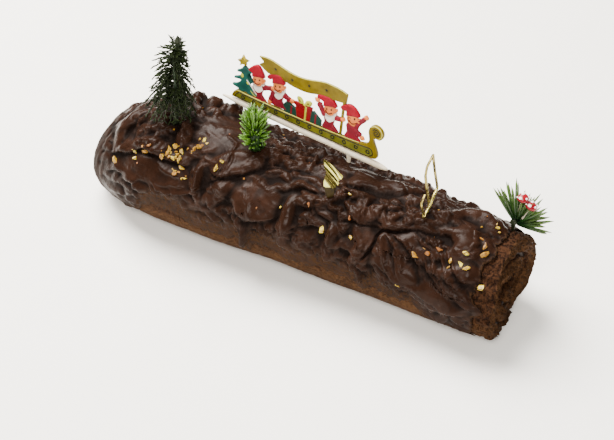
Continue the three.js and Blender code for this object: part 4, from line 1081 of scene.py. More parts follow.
def spike(name, sides, points):
    """A shape to scatter: rings of points along Z up to a tip, one unit high."""
    tip = len(points) - 1
    faces = ring_faces(tip // sides, sides)
    faces += [(tip - sides + k, tip - sides + (k + 1) % sides, tip) for k in range(sides)]
    faces.append(tuple(reversed(range(sides))))
    mesh = bpy.data.meshes.new(name)
    mesh.from_pydata(points, [], faces)
    mark_points(mesh, {"tip": [z for _, _, z in points]})
    for polygon in mesh.polygons:
        polygon.use_smooth = True
    return in_scene(name, mesh)


def needle_shape(name, sides):
    """A thin tapered needle, one unit long and one unit thick."""
    points = []
    for z, r in ((0, 0.36), (0.4, 0.5), (0.84, 0.36)):
        for k in range(sides):
            a = math.tau * k / sides
            points.append((r * math.cos(a), r * math.sin(a), z))
    return spike(name, sides, [*points, (0, 0, 1)])


def blade_shape(name):
    """A plump leaf blade with a ridge, one unit long, bent at its tip."""
    points = []
    for z, half, bend in ((0, 0.2, 0.0), (0.25, 0.44, 0.0), (0.55, 0.5, 0.05), (0.82, 0.3, 0.14)):
        for px, py in ((half, 0), (0, 0.36 * half + 0.02), (-half, 0), (0, -0.5 * half)):
            points.append((px, py + bend, z))
    return spike(name, 4, [*points, (0, 0.26, 1)])


def any_way(draw):
    return [draw.uniform(-1, 1) for _ in range(3)]


def nut_shape(seed):
    """A chopped nut: a lump with a few flat cuts."""
    draw = random.Random(seed)
    tool = bmesh.new()
    bmesh.ops.create_icosphere(tool, subdivisions=1, radius=0.5)
    for _ in range(8):
        way = Vector(any_way(draw)).normalized()
        cut = bmesh.ops.bisect_plane(tool, geom=tool.verts[:] + tool.edges[:] + tool.faces[:],
                                     plane_co=way * draw.uniform(0.12, 0.34), plane_no=way, clear_outer=True)
        rim = [e for e in cut["geom_cut"] if isinstance(e, bmesh.types.BMEdge)]
        bmesh.ops.holes_fill(tool, edges=rim)
    bmesh.ops.dissolve_limit(tool, angle_limit=0.12, verts=tool.verts, edges=tool.edges)
    for v in tool.verts:
        v.co += Vector(any_way(draw)) * 0.05
    bmesh.ops.triangulate(tool, faces=tool.faces)
    bmesh.ops.recalc_face_normals(tool, faces=tool.faces)
    mesh = bpy.data.meshes.new(f"nut_{seed}")
    tool.to_mesh(mesh)
    tool.free()
    return in_scene(f"nut_{seed}", mesh)


def scatter_tree(shape, look):
    """Geometry nodes that stand a shape on each point, along the point's facing."""
    tree = bpy.data.node_groups.new("stand_" + shape.name, "GeometryNodeTree")
    sockets = [("Points", "INPUT", "NodeSocketGeometry"), ("Size", "INPUT", "NodeSocketFloat"),
               ("Seed", "INPUT", "NodeSocketInt"), ("Pieces", "OUTPUT", "NodeSocketGeometry")]
    for title, way, kind in sockets:
        tree.interface.new_socket(title, in_out=way, socket_type=kind)

    def add(kind, output, values=None, **properties):
        return add_node(tree, kind, values, **properties).outputs[output]

    entry = add_node(tree, "NodeGroupInput").outputs
    dots = add("GeometryNodeMeshToPoints", "Points", {"Mesh": entry["Points"]})
    thing = add("GeometryNodeObjectInfo", "Geometry", {"Object": shape})
    facing, stretch = (
        add("GeometryNodeInputNamedAttribute", "Attribute", {"Name": title}, data_type="FLOAT_VECTOR")
        for title in ("facing", "stretch")
    )
    aim = add("FunctionNodeAlignRotationToVector", "Rotation", {"Vector": facing}, axis="Z")
    turns = {"Min": (0, 0, 0), "Max": (0, 0, math.tau), "Seed": entry["Seed"]}
    chance = add("FunctionNodeRandomValue", "Value", turns, data_type="FLOAT_VECTOR")
    spin = add("FunctionNodeEulerToRotation", "Rotation", {"Euler": chance})
    both = {"Rotation": aim, "Rotate By": spin}
    turned = add("FunctionNodeRotateRotation", "Rotation", both, rotation_space="LOCAL")
    sized = add("ShaderNodeVectorMath", "Vector", {0: stretch, "Scale": entry["Size"]}, operation="SCALE")
    stand = {"Points": dots, "Instance": thing, "Rotation": turned, "Scale": sized}
    real = add("GeometryNodeRealizeInstances", "Geometry",
               {"Geometry": add("GeometryNodeInstanceOnPoints", "Instances", stand)})
    dressed = add("GeometryNodeSetMaterial", "Geometry", {"Geometry": real, "Material": look})
    add_node(tree, "NodeGroupOutput", {"Pieces": dressed})
    return tree


def scatter(name, shape, look, rows, seed):
    """One mesh of many small pieces; a row has place, facing, size and tone. The shape itself goes."""
    places, facings, stretches, tones = zip(*rows)
    mesh = bpy.data.meshes.new(name + "_points")
    mesh.from_pydata(((np.array(places, float) + LOG_PLACE) * MM).tolist(), [], [])
    mark_points(mesh, {"facing": facings, "stretch": stretches}, "FLOAT_VECTOR")
    mark_points(mesh, {"tone": tones})
    host = in_scene(name + "_points", mesh)
    tree = scatter_tree(shape, look)
    modifier = host.modifiers.new("stand", "NODES")
    modifier.node_group = tree
    names = {item.name: item.identifier for item in tree.interface.items_tree if item.in_out == "INPUT"}
    modifier[names["Size"]] = MM
    modifier[names["Seed"]] = seed
    bpy.context.view_layer.update()
    evaluated = host.evaluated_get(bpy.context.evaluated_depsgraph_get())
    made = bpy.data.meshes.new_from_object(evaluated)
    made.name = name
    bpy.data.objects.remove(host)
    bpy.data.objects.remove(shape)
    return in_scene(name, made)


# ---------- nuts ----------

# Chopped nuts: place along the log, angle round it, size, and tone from orange (0) to pale gold (1).
NUTS = [
    (-136, 66, 5.8, 0.65), (-118, 57, 4.8, 0.9), (-120, 52, 4.2, 1.0), (-111, 49, 4.8, 0.5),
    (-97, 48, 5.4, 0.5), (-94, 45, 4.4, 0.45), (-93, 41, 5.2, 0.6), (-90, 36, 5.2, 0.65),
    (-85, 39, 5.0, 0.85), (-89, 46, 5.0, 0.9), (-84, 45, 5.8, 0.8), (-87, 42, 4.4, 0.7),
    (-81, 52, 4.6, 0.75), (-84, 58, 4.6, 0.4), (-76, 59, 3.4, 0.9), (-75, 29, 5.4, 0.6), (-77, 33, 4.0, 0.5),
    (-74, 21, 4.6, 1.0), (-54, 42, 4.4, 0.9), (-52, 35, 4.0, 1.0), (17, 42, 3.4, 0.1), (31, 57, 4.6, 0.9),
    (47, 40, 3.8, 0.05), (52, 55, 3.4, 0.8), (39, 20, 2.6, 0.9), (-2, 53, 2.4, 1.0), (96, 50, 5.8, 0.45),
    (104, 45, 4.2, 0.15), (110, 38, 4.2, 0.1), (120, 44, 3.6, 0.6), (120, 49, 3.2, 0.5), (127, 32, 4.4, 1.0),
    (127, 43, 4.2, 1.0), (131, 45, 4.4, 0.75), (136, 19, 5.0, 0.4), (138, 26, 5.4, 0.45),
    (136, -9, 3.0, 0.9), (138, -6, 2.4, 0.8), (134, -12, 2.2, 0.9), (143, 56, 5.0, 0.9), (90, 80, 3.8, 0.8),
    (131, 12, 3.0, 0.3), (-107, 44, 3.0, 0.2),
]

NUT_SHAPES = 4
SMALL_NUTS = 26
# How far nuts are stretched along their three axes.
NUT_STRETCH = [(1.1, 1.7), (0.75, 1.05), (0.7, 1.0)]


def surface_height(x, angle):
    """Radius of the coat's outside at one place."""
    thick, _ = coat_thickness(np.array([float(x)]), np.array([float(angle)]))
    return (roll_radius(x, angle) + GAP + thick[0]) * end_scale(x, COAT_END)


def join(objects, name):
    """One object from several, all at the origin."""
    tool = bmesh.new()
    for one in objects:
        tool.from_mesh(one.data)
    mesh = bpy.data.meshes.new(name)
    tool.to_mesh(mesh)
    tool.free()
    for look in objects[0].data.materials:
        mesh.materials.append(look)
    for one in objects:
        bpy.data.objects.remove(one)
    return in_scene(name, mesh)


def make_nuts():
    draw = random.Random(7)
    nuts = list(NUTS)
    # Bits beside the heap at the left, then small ones all over.
    for x, a, _, _ in NUTS[3:18] * 2:
        nuts.append((x + draw.uniform(-4, 4), a + draw.uniform(-5, 5),
                     draw.uniform(1.6, 3.0), draw.uniform(0.3, 0.9)))
    for _ in range(SMALL_NUTS):
        nuts.append((draw.uniform(-120, 138), draw.uniform(-60, 66),
                     draw.uniform(1.0, 1.9), draw.uniform(0.0, 0.6)))
    made = []
    for n in range(NUT_SHAPES):
        rows = []
        for x, a, size, tone in nuts[n::NUT_SHAPES]:
            place = on_section(x, a, surface_height(x, a) + size * 0.12)
            out = np.array([draw.uniform(-0.5, 0.5), -math.sin(math.radians(a)), math.cos(math.radians(a))])
            facing = unit(out + 0.5 * np.array(any_way(draw)))
            stretch = [size * draw.uniform(*spread) for spread in NUT_STRETCH]
            rows.append((place, facing, stretch, tone))
        made.append(scatter(f"nuts_{n}", nut_shape(n), NUT, rows, 11 + n))
    finish_piece(join(made, "chopped_nuts"), "icing", "icing")


# ---------- a builder for picks made of several coloured parts ----------

def across_way(way):
    """Two directions square to a way and to each other."""
    side = unit(np.cross(way, (0.3, 0.9, 0.1)))
    return side, np.cross(way, side)


def circle(centre, side, other, radius, sides):
    """Points round a circle in the plane of two directions."""
    turns = [math.tau * m / sides for m in range(sides)]
    return [centre + (side * math.cos(a) + other * math.sin(a)) * radius for a in turns]


def inward_ways(outline):
    """The way inwards at each corner of an outline that runs counter-clockwise."""
    ways = []
    for k in range(len(outline)):
        before, here, after = (np.array(outline[(k + d) % len(outline)]) for d in (-1, 0, 1))
        way = np.zeros(2)
        for edge in (here - before, after - here):
            way += np.array([-edge[1], edge[0]]) / (np.linalg.norm(edge) + 1e-9)
        ways.append(way / max(np.linalg.norm(way), 0.5))
    return ways


class Pick:
    """Collects closed shapes of several finishes into one piece, in log millimetres."""

    def __init__(self, axes=None):
        self.tool = bmesh.new()
        self.looks = []
        self.axes = axes

    def where(self, p):
        """A place in log millimetres, from one along the pick's own axes where it has them."""
        if self.axes is None:
            return Vector(p)
        start, along_axis, up_axis, out_axis = self.axes
        return Vector(start + along_axis * p[0] + up_axis * p[1] + out_axis * p[2])

    def add(self, points, faces):
        """Adds a closed shape; each face has its corners, its finish and whether it is smooth."""
        made = [self.tool.verts.new(self.where(p)) for p in points]
        for corners, look, rounded in faces:
            if look not in self.looks:
                self.looks.append(look)
            face = self.tool.faces.new([made[c] for c in corners])
            face.material_index = self.looks.index(look)
            face.smooth = rounded

    def cut(self, outline, back, front, look, bevel=0.5, steps=2):
        """A plate with the outline, rounded along its front rim."""
        outline = [tuple(p) for p in outline]
        area = sum(a[0] * b[1] - b[0] * a[1] for a, b in zip(outline, outline[1:] + outline[:1]))
        if area < 0:
            outline.reverse()
        count = len(outline)
        ways = inward_ways(outline)
        points = [(s, h, back) for s, h in outline]
        for k in range(steps + 1):
            t = k / steps * math.pi / 2
            inset = bevel * (1 - math.cos(t))
            rise = front - bevel + bevel * math.sin(t)
            points += [(s + way[0] * inset, h + way[1] * inset, rise) for way, (s, h) in zip(ways, outline)]
        faces = [(corners, look, True) for corners in ring_faces(steps + 2, count)]
        faces.append((range(count)[::-1], look, False))
        faces.append((range(len(points) - count, len(points)), look, False))
        self.add(points, faces)

    def dome(self, centre, radii, look, sides=16, rings=7, turn=0.0):
        """A flattened ball."""
        points = []
        (cx, cy, cz), (rx, ry, rz) = centre, radii
        c, s = math.cos(turn), math.sin(turn)
        for j in range(1, rings):
            lat = math.pi * j / rings
            for k in range(sides):
                a = math.tau * k / sides
                px, py = rx * math.sin(lat) * math.cos(a), ry * math.sin(lat) * math.sin(a)
                points.append((cx + px * c - py * s, cy + px * s + py * c, cz + rz * math.cos(lat)))
        points += [(cx, cy, cz + rz), (cx, cy, cz - rz)]
        top, low = len(points) - 2, len(points) - 1
        last = (rings - 2) * sides
        faces = [(a, d, c, b) for a, b, c, d in ring_faces(rings - 1, sides)]
        faces += [(top, k, (k + 1) % sides) for k in range(sides)]
        faces += [(low, last + (k + 1) % sides, last + k) for k in range(sides)]
        self.add(points, [(corners, look, True) for corners in faces])

    def tube(self, path, radii, look, sides=10):
        """A round rod along a bent path, with rounded ends."""
        path = [np.asarray(p, float) for p in path]
        if not hasattr(radii, "__len__"):
            radii = [radii] * len(path)
        first, last = unit(path[1] - path[0]), unit(path[-1] - path[-2])
        stations = [(path[0] - first * radii[0] * 0.5, radii[0] * 0.5)] + list(zip(path, radii))
        stations.append((path[-1] + last * radii[-1] * 0.5, radii[-1] * 0.5))
        points = []
        side = unit(np.cross(unit(stations[1][0] - stations[0][0]), (0.31, 0.17, 0.93)))
        for k, (p, r) in enumerate(stations):
            way = unit(stations[min(k + 1, len(stations) - 1)][0] - stations[max(k - 1, 0)][0])
            side = unit(side - way * np.dot(side, way))
            points += circle(p, side, np.cross(way, side), r, sides)
        end = len(points) - sides
        faces = [*ring_faces(len(stations), sides), range(sides)[::-1], range(end, end + sides)]
        self.add(points, [(corners, look, True) for corners in faces])

    def lathe(self, outline, place, way, look_of, sides=24):
        """Turns an outline of (radius, height) round an axis; both its ends lie on the axis."""
        side, other = across_way(way)
        inner = outline[1:-1]
        points = [place + way * outline[0][1], place + way * outline[-1][1]]
        for r, z in inner:
            points += circle(place + way * z, side, other, r, sides)
        top = 2 + (len(inner) - 1) * sides
        faces = []
        for m in range(sides):
            n = (m + 1) % sides
            faces.append(((0, 2 + n, 2 + m), look_of(0), True))
            faces.append(((1, top + m, top + n), look_of(len(inner)), True))
            for j in range(len(inner) - 1):
                a, b = 2 + j * sides + m, 2 + j * sides + n
                faces.append(((a, b, b + sides, a + sides), look_of(j + 1), True))
        self.add(points, faces)

    def piece(self, name, slot, *nodes):
        """Makes the collected shapes one piece of the scene."""
        bmesh.ops.recalc_face_normals(self.tool, faces=self.tool.faces)
        long_faces = [f for f in self.tool.faces if len(f.verts) > 4]
        bmesh.ops.triangulate(self.tool, faces=long_faces, ngon_method="EAR_CLIP")
        for v in self.tool.verts:
            v.co = (v.co + Vector(LOG_PLACE)) * MM
        mesh = bpy.data.meshes.new(name)
        self.tool.to_mesh(mesh)
        self.tool.free()
        for look in self.looks:
            mesh.materials.append(look)
        finish_piece(in_scene(name, mesh), slot, *nodes)


# ---------- firs ----------

FIR_FOOT = coat_point(-102.0, 12.5)
SMALL_FOOT = coat_point(-36.6, 11.7)
LEAF_FOOT = coat_point(28.0, 31.0)
STAR_FOOT = coat_point(91.5, 26.3)
SPRIG_FOOT = coat_point(141.0, -32.0)
UP = np.array([0.0, 0.0, 1.0])

ACROSS = np.array([0.866, 0.5, 0.0])
FRONTWARD = np.array([0.5, -0.866, 0.0])

# The dark fir's lean to the right: share of its height, and millimetres.
FIR_BEND = [(0, 0), (0.35, 1.2), (0.7, 1.3), (0.9, 3.5), (1.0, 5.2)]
TRUNK_SHARES = (0, 0.2, 0.4, 0.6, 0.75, 0.86, 0.93, 0.97, 1.01)
TRUNK_RADII = [1.7, 1.7, 1.5, 1.3, 1.2, 1.0, 0.9, 0.9, 1.0, 0.8]
KNOB_SHARES = (0.945, 0.97, 1.0, 1.035)
KNOB_RADII = [1.2, 2.2, 1.8, 0.5]
BOUGH_RADII = [0.5, 0.48, 0.44, 0.4, 0.36, 0.3]
NEEDLE_PITCH = 1.9
# Tiers of the fir: height of the tips, reach, fall from the trunk, how many boughs.
FIR_TIERS = [
    (61.5, 5.4, -1, 5), (57.5, 8.2, 0, 7), (52.5, 9.8, 2, 8), (47.5, 11, 3, 8), (42.5, 11.8, 4.5, 9),
    (37, 12.8, 6, 9), (31.5, 13.6, 7.5, 10), (26, 14.6, 9, 10), (20, 15.4, 11, 10), (13.5, 17.4, 13, 12),
    (7.5, 17.4, 14, 13), (4.0, 13, 12, 11),
]

# Layers of the small fir: height, pairs of leaves, their length, lift in radians, distance from the trunk.
LEAF_LAYERS = [
    (6, 9, 6.6, 0.2, 2.4), (9.5, 11, 9.4, 0.45, 2.6), (13.5, 11, 11.6, 0.62, 2.8),
    (17.5, 11, 12.6, 0.80, 2.6), (21, 10, 13.2, 0.92, 2.2), (24, 8, 13.4, 1.02, 1.8),
    (26, 5, 12.2, 1.16, 1.0),
]
# Ribs of the cup that holds the small fir's lowest leaves: how many, and radius and height along them.
CUP_RIBS = 9
RIB_PATH = [(5.4, 5.6), (5.0, 3.2), (3.0, 1.4), (1.4, 0.6)]


def trunk(share):
    return FIR_FOOT + UP * FIR_HEIGHT * share + ACROSS * float(along(FIR_BEND, share))


def add_bough(draw, stem, needles, root, tip, side, fall, reach):
    """A drooping bough of the fir, with needles spread from it like a feather."""
    def bough(u):
        return root + (tip - root) * u + UP * fall * 0.4 * math.sin(math.pi * u)

    last = len(BOUGH_RADII) - 1
    stem.tube([bough(q / last) for q in range(last + 1)], BOUGH_RADII, FIR_STEM, 5)
    stations = max(5, int(reach / NEEDLE_PITCH))
    for q in range(stations + 1):
        u = 0.14 + 0.86 * q / stations
        way = unit(bough(min(u + 0.05, 1.05)) - bough(u - 0.05))
        for leaning in (-1, 1) if q % 2 else (-1, 0, 1):
            spread = side * leaning * draw.uniform(0.7, 1.05)
            spread += UP * (0.4 * leaning + draw.uniform(-0.2, 0.35))
            length, tone = draw.uniform(3.0, 4.3), draw.random() ** 1.6
            needles.append((bough(u), unit(way + spread), (1.0, 1.0, length), tone))


def make_fir():
    """A moulded fir: a trunk with a knob on top, and tiers of drooping boughs."""
    draw = random.Random(41)
    stem = Pick()
    stem.tube([FIR_FOOT - UP * PEG_DEPTH, *(trunk(t) for t in TRUNK_SHARES)], TRUNK_RADII, FIR_TRUNK, 8)
    stem.tube([trunk(t) for t in KNOB_SHARES], KNOB_RADII, FIR_STEM, 8)
    needles = []
    for n, (rise, reach, fall, count) in enumerate(FIR_TIERS):
        for k in range(count):
            turn = (k + 0.5 * (n % 2) + draw.uniform(-0.22, 0.22)) / count * math.tau
            out = np.array([math.cos(turn), math.sin(turn), 0.0])
            frontal = float(out @ FRONTWARD)
            # The middle tiers leave the trunk open to the front.
            if frontal > 0.9 and 2 < n < 9:
                continue
            side = np.array([-math.sin(turn), math.cos(turn), 0.0])
            slim = (1 - 0.22 * float(out @ ACROSS)) * (1 - 0.34 * max(0, frontal))
            wide = reach * slim * draw.uniform(0.86, 1.08)
            tip_rise = rise + draw.uniform(-1.8, 1.8)
            tip = trunk(min(rise / FIR_HEIGHT, 1)) * (1, 1, 0) + out * wide + UP * (FIR_FOOT[2] + tip_rise)
            root = trunk(min((rise + fall) / FIR_HEIGHT, 0.97))
            add_bough(draw, stem, needles, root, tip, side, fall, wide)
    made = scatter("fir_needles", needle_shape("needle", 3), DARK_FIR, needles, 3)
    finish_piece(made, "fir_green", "fir_tree")
    stem.piece("fir_stems", "fir_green", "fir_tree")


def make_small_fir():
    """A bright fir of upright leaves in layers, on a short trunk with a ribbed cup."""
    draw = random.Random(23)
    core = Pick()
    rises = (-PEG_DEPTH, 0, 5, 13, SMALL_FIR_HEIGHT * 0.86)
    core.tube([SMALL_FOOT + UP * rise for rise in rises], [1.2, 1.4, 4.2, 4.6, 0.9], BRIGHT_CORE, 12)
    for k in range(CUP_RIBS):
        a = k * math.tau / CUP_RIBS
        turned = [(a + 0.2 * q, r, z) for q, (r, z) in enumerate(RIB_PATH)]
        path = [SMALL_FOOT + np.array([r * math.cos(b), r * math.sin(b), z]) for b, r, z in turned]
        core.tube(path, [0.5, 0.5, 0.45, 0.4], BRIGHT_CORE, 6)
    leaves = []
    for n, (rise, pairs, length, lift, out) in enumerate(LEAF_LAYERS):
        for k in range(pairs * 2):
            turn = (k + 0.5 * (n % 2)) / (pairs * 2) * math.tau + draw.uniform(-0.2, 0.2)
            way = np.array([math.cos(turn), math.sin(turn), 0.0])
            frontal = max(0, float(way @ FRONTWARD))
            raised = lift + draw.uniform(-0.28, 0.22) + min(0.6, 0.2 * n) * frontal ** 2
            start = SMALL_FOOT - ACROSS * 1.2 + UP * (rise + draw.uniform(-1.2, 1.2))
            facing = way * math.cos(raised) + UP * math.sin(raised)
            stretch = (2.6, 2.6, length * draw.uniform(0.7, 1.1))
            # Painted light: the higher layers are more likely light in tone, over a random tone.
            tone = min(1, 0.03 * n * n * draw.random() + draw.random() ** 3)
            leaves.append((start + way * out, facing, stretch, tone))
    made = scatter("bright_fir_leaves", blade_shape("blade"), BRIGHT_FIR, leaves, 5)
    finish_piece(made, "bright_green", "small_fir")
    core.piece("bright_fir_core", "bright_green", "small_fir")


# ---------- topper ----------

BAR_TURN = math.radians(-6)
BAR_TILT = math.radians(-2)
BAR_ALONG = np.array([
    math.cos(BAR_TURN) * math.cos(BAR_TILT), math.sin(BAR_TURN) * math.cos(BAR_TILT), math.sin(BAR_TILT),
])
BAR_FRONT = np.array([math.sin(BAR_TURN), -math.cos(BAR_TURN), 0.0])
BAR_UP = np.cross(BAR_FRONT, BAR_ALONG)
BAR_START = np.array([-85.6, 26.3, 90.4])
TOPPER_AXES = (BAR_START, BAR_ALONG, BAR_UP, BAR_FRONT)
# The bar's profile: share of its length, and share of half its thickness.
BAR_PROFILE = [
    (0, 0.28), (0.02, 0.42), (0.06, 0.72), (0.12, 0.98), (0.2, 1.0), (0.35, 1.04), (0.5, 1.0), (0.65, 1.03),
    (0.8, 0.98), (0.9, 1.02), (0.96, 0.92), (0.985, 0.7), (1.0, 0.42),
]
BAR_PEGS = (34, 108)
BAR_PEG_LENGTH = 23.0

# The topper's artwork lies in its own plane: (millimetres along the bar, millimetres above it).
BACK = -0.8
DECK_FRONT = 1.3
SLEDGE_DECK = [
    (8.2, 3.0), (8.2, 3.0), (9.2, 6.0), (11.4, 8.8), (14.4, 9.8), (26, 9.5), (44, 9.3), (60, 9.4), (76, 9.8),
    (92, 10.3), (106, 11.0), (116, 11.9), (121.4, 13.4), (123.8, 16.4), (123.6, 20.4), (123.0, 24.4),
    (124.4, 28.2), (127.6, 30.5), (131.6, 30.0), (134.4, 26.8), (134.2, 22.8), (131.9, 20.3), (129.0, 20.4),
    (127.2, 19.0), (128.0, 15.8), (129.9, 11.6), (131.0, 7.6), (130.4, 4.8), (127.0, 3.4), (114, 2.7),
    (96, 2.6), (76, 2.6), (56, 2.6), (36, 2.8), (20, 3.0), (20, 3.0),
]
DECK_RIM = [
    (11.6, 8.9), (14.4, 9.7), (26, 9.4), (44, 9.2), (60, 9.3), (76, 9.7), (92, 10.2), (106, 10.9),
    (116, 11.8),
]
SCROLL_RIM = [(125.2, 28.4), (128.2, 30.0), (131.8, 29.2), (133.7, 26.2), (133.2, 23.0), (131.0, 21.2)]
DECK_BORDER = [
    (11.8, 4.2), (12.6, 6.6), (14.6, 8.2), (17.6, 8.5), (40, 8.1), (60, 8.1), (80, 8.5), (100, 9.2),
    (116, 10.1), (124.6, 10.9), (127.0, 9.2), (127.2, 6.6), (125.0, 4.6),
]
DECK_LOWER = [(13.4, 3.9), (30, 3.6), (60, 3.4), (90, 3.4), (112, 3.6), (124.6, 4.2)]
RIVETS = 12
BANNER_TOP = [
    (32.0, 45.2), (36, 46.0), (41, 46.2), (47, 45.2), (53, 43.7), (59, 42.6), (65, 42.2), (71, 42.9),
    (77, 44.3), (83, 46.0), (88, 46.8), (95, 46.8), (101, 45.9), (105, 44.7),
]
BANNER_LOW = [
    (104.0, 37.1), (99, 36.4), (94, 35.8), (88, 35.4), (81, 34.6), (75.5, 33.1), (70, 32.2), (63, 32.2),
    (56.5, 33), (51, 34.5), (45, 35), (39, 34.6), (32.0, 38.8),
]
BANNER_NOTCH = (35.9, 41.9)
BANNER_STARS = [(46, 40.4), (60, 37.6), (74, 38.8), (88, 41.2)]
TREE_OUTLINE = [
    (18.9, 32.2), (17.2, 29.8), (14.6, 27.3), (12.9, 26.4), (13.2, 25.0), (16.8, 25.3), (15.0, 22.6),
    (12.0, 20.8), (10.3, 20.0), (10.8, 18.6), (16.0, 19.4), (14.0, 16.6), (10.8, 14.4), (8.8, 13.8),
    (9.2, 12.2), (13.0, 11.4), (16.4, 9.6), (20.0, 10.8), (24.5, 9.6), (30.4, 10.8), (30.2, 12.6),
    (26.4, 14.6), (24.0, 18.2), (27.4, 21.4), (28.0, 23.0), (26.2, 23.4), (22.2, 24.7), (24.8, 27.6),
    (25.4, 28.9), (23.6, 29.5), (21.4, 31.4),
]
TREE_STAR_TIPS = [(18.0, 40.5), (13.4, 35.0), (15.4, 31.0), (20.8, 32.6), (23.2, 37.2)]
TREE_STAR_MIDDLE = (18.2, 35.3)
TREE_STAR_WAIST = 0.66


def topper_point(s, h, n=0.0):
    return BAR_START + BAR_ALONG * s + BAR_UP * h + BAR_FRONT * n


def make_bar():
    bar = Pick()
    path = [topper_point(t * BAR_LENGTH, -0.2 + 0.25 * math.sin(23 * t), 0.5) for t, _ in BAR_PROFILE]
    bar.tube(path, [BAR_THICK / 2 * share for _, share in BAR_PROFILE], IVORY, 16)
    for s in BAR_PEGS:
        top = topper_point(s, -0.5)
        low = top - UP * BAR_PEG_LENGTH
        bar.tube([low, low + (top - low) * 0.6, top], [1.05, 1.25, 1.7], IVORY, 10)
    bar.piece("topper_stick", "ivory", "topper_bar")


def limb(points, widths):
    """Outline of a bent, tapered limb."""
    left, right = [], []
    for k, (p, w) in enumerate(zip(points, widths)):
        ahead = np.subtract(points[min(k + 1, len(points) - 1)], points[max(k - 1, 0)])
        n = unit((-ahead[1], ahead[0])) * w / 2
        left.append(tuple(np.add(p, n)))
        right.append(tuple(np.subtract(p, n)))
    return left + right[::-1]


def ribbon(places, width):
    """Outline of a flat band of one width."""
    return limb(places, [width] * len(places))


def line_in(points, steps, height):
    """A smooth line over the artwork, at one height in front of it."""
    return [(a, b, height) for a, b in catmull(points, steps, False)]


def gnome_cap(tip, peak):
    """Outline of a cap that flops over to its tip."""
    (tx, ty), (px, py) = tip, peak
    return [(-4.9, 1.5), (-5.1, 4.6), (tx + 2.4, ty - 1.2), (tx + 0.6, ty - 0.8), (tx, ty + 0.4),
            (tx + 1.2, ty + 2.0), ((tx + px) / 2, (ty + py) / 2 + 1.2), (px, py),
            (px + (4.8 - px) * 0.6, (py + 5.4) / 2 + 1.1), (5.1, 5.6), (4.9, 3.8), (-0.4, 3.3)]


GNOME_COAT = [
    (-4.6, -4.6), (-4.2, -10.6), (-5.6, -16), (6.4, -16), (5.8, -14.2), (3.0, -11.0), (4.2, -6.6),
    (4.9, -1.6),
]
GNOME_BEARD = [
    (-4.5, -4.0), (-4.1, -6.4), (-2.1, -9.2), (0.5, -9.7), (3.4, -7.5), (5.0, -4.4), (5.4, -0.3),
    (4.4, -1.2), (3.0, -3.2), (1.0, -4.7), (-1.4, -5.2), (-3.4, -4.7),
]
GNOME_SMILE = [(-3.0, -0.9), (-1.7, -2.3), (0.3, -2.5), (2.2, -1.0)]
CAP_FOLD = [(-4.8, 2.2, 1.0), (-2.4, 3.1, 1.5), (0.4, 3.9, 1.55), (3.0, 4.4, 1.4), (4.8, 4.7, 1.0)]

# Gnomes: name, middle of the face, cap's tip and peak, arms as places that end at the hand,
# whether bearded, and how far the face is turned to the right.
GNOMES = [
    ("gnome_one", (31.2, 24.9), ((-8.0, 6.2), (-0.4, 12.4)),
     [[(4.0, -4.4), (8.2, -2.9), (11.4, -2.0), (12.9, -1.3)]], True, 0.0),
    ("gnome_two", (48.6, 26.8), ((-9.4, 4.9), (0.0, 9.8)),
     [[(-3.6, -4.6), (-5.6, -9.4), (-7.0, -13.2), (-7.4, -15.0)],
      [(4.2, -4.6), (7.2, -6.0), (9.8, -7.0), (11.6, -6.6)]], True, 0.0),
    ("gnome_three", (91.4, 26.8), ((-10.4, 6.8), (-1.4, 9.8)),
     [[(-4.0, -6.2), (-7.0, -2.0), (-9.2, 1.6), (-10.4, 3.6)],
      [(4.2, -4.4), (7.2, -4.4), (9.2, -3.8), (10.6, -3.0)]], True, 0.0),
    ("gnome_four", (109.8, 27.0), ((-9.8, 6.2), (-2.0, 11.0)),
     [[(2.6, -3.6), (6.2, 0.6), (9.0, 4.0), (10.5, 6.0)],
      [(1.0, -7.0), (4.6, -9.2), (6.6, -10.4), (8.0, -11.4)]], False, 1.0),
]


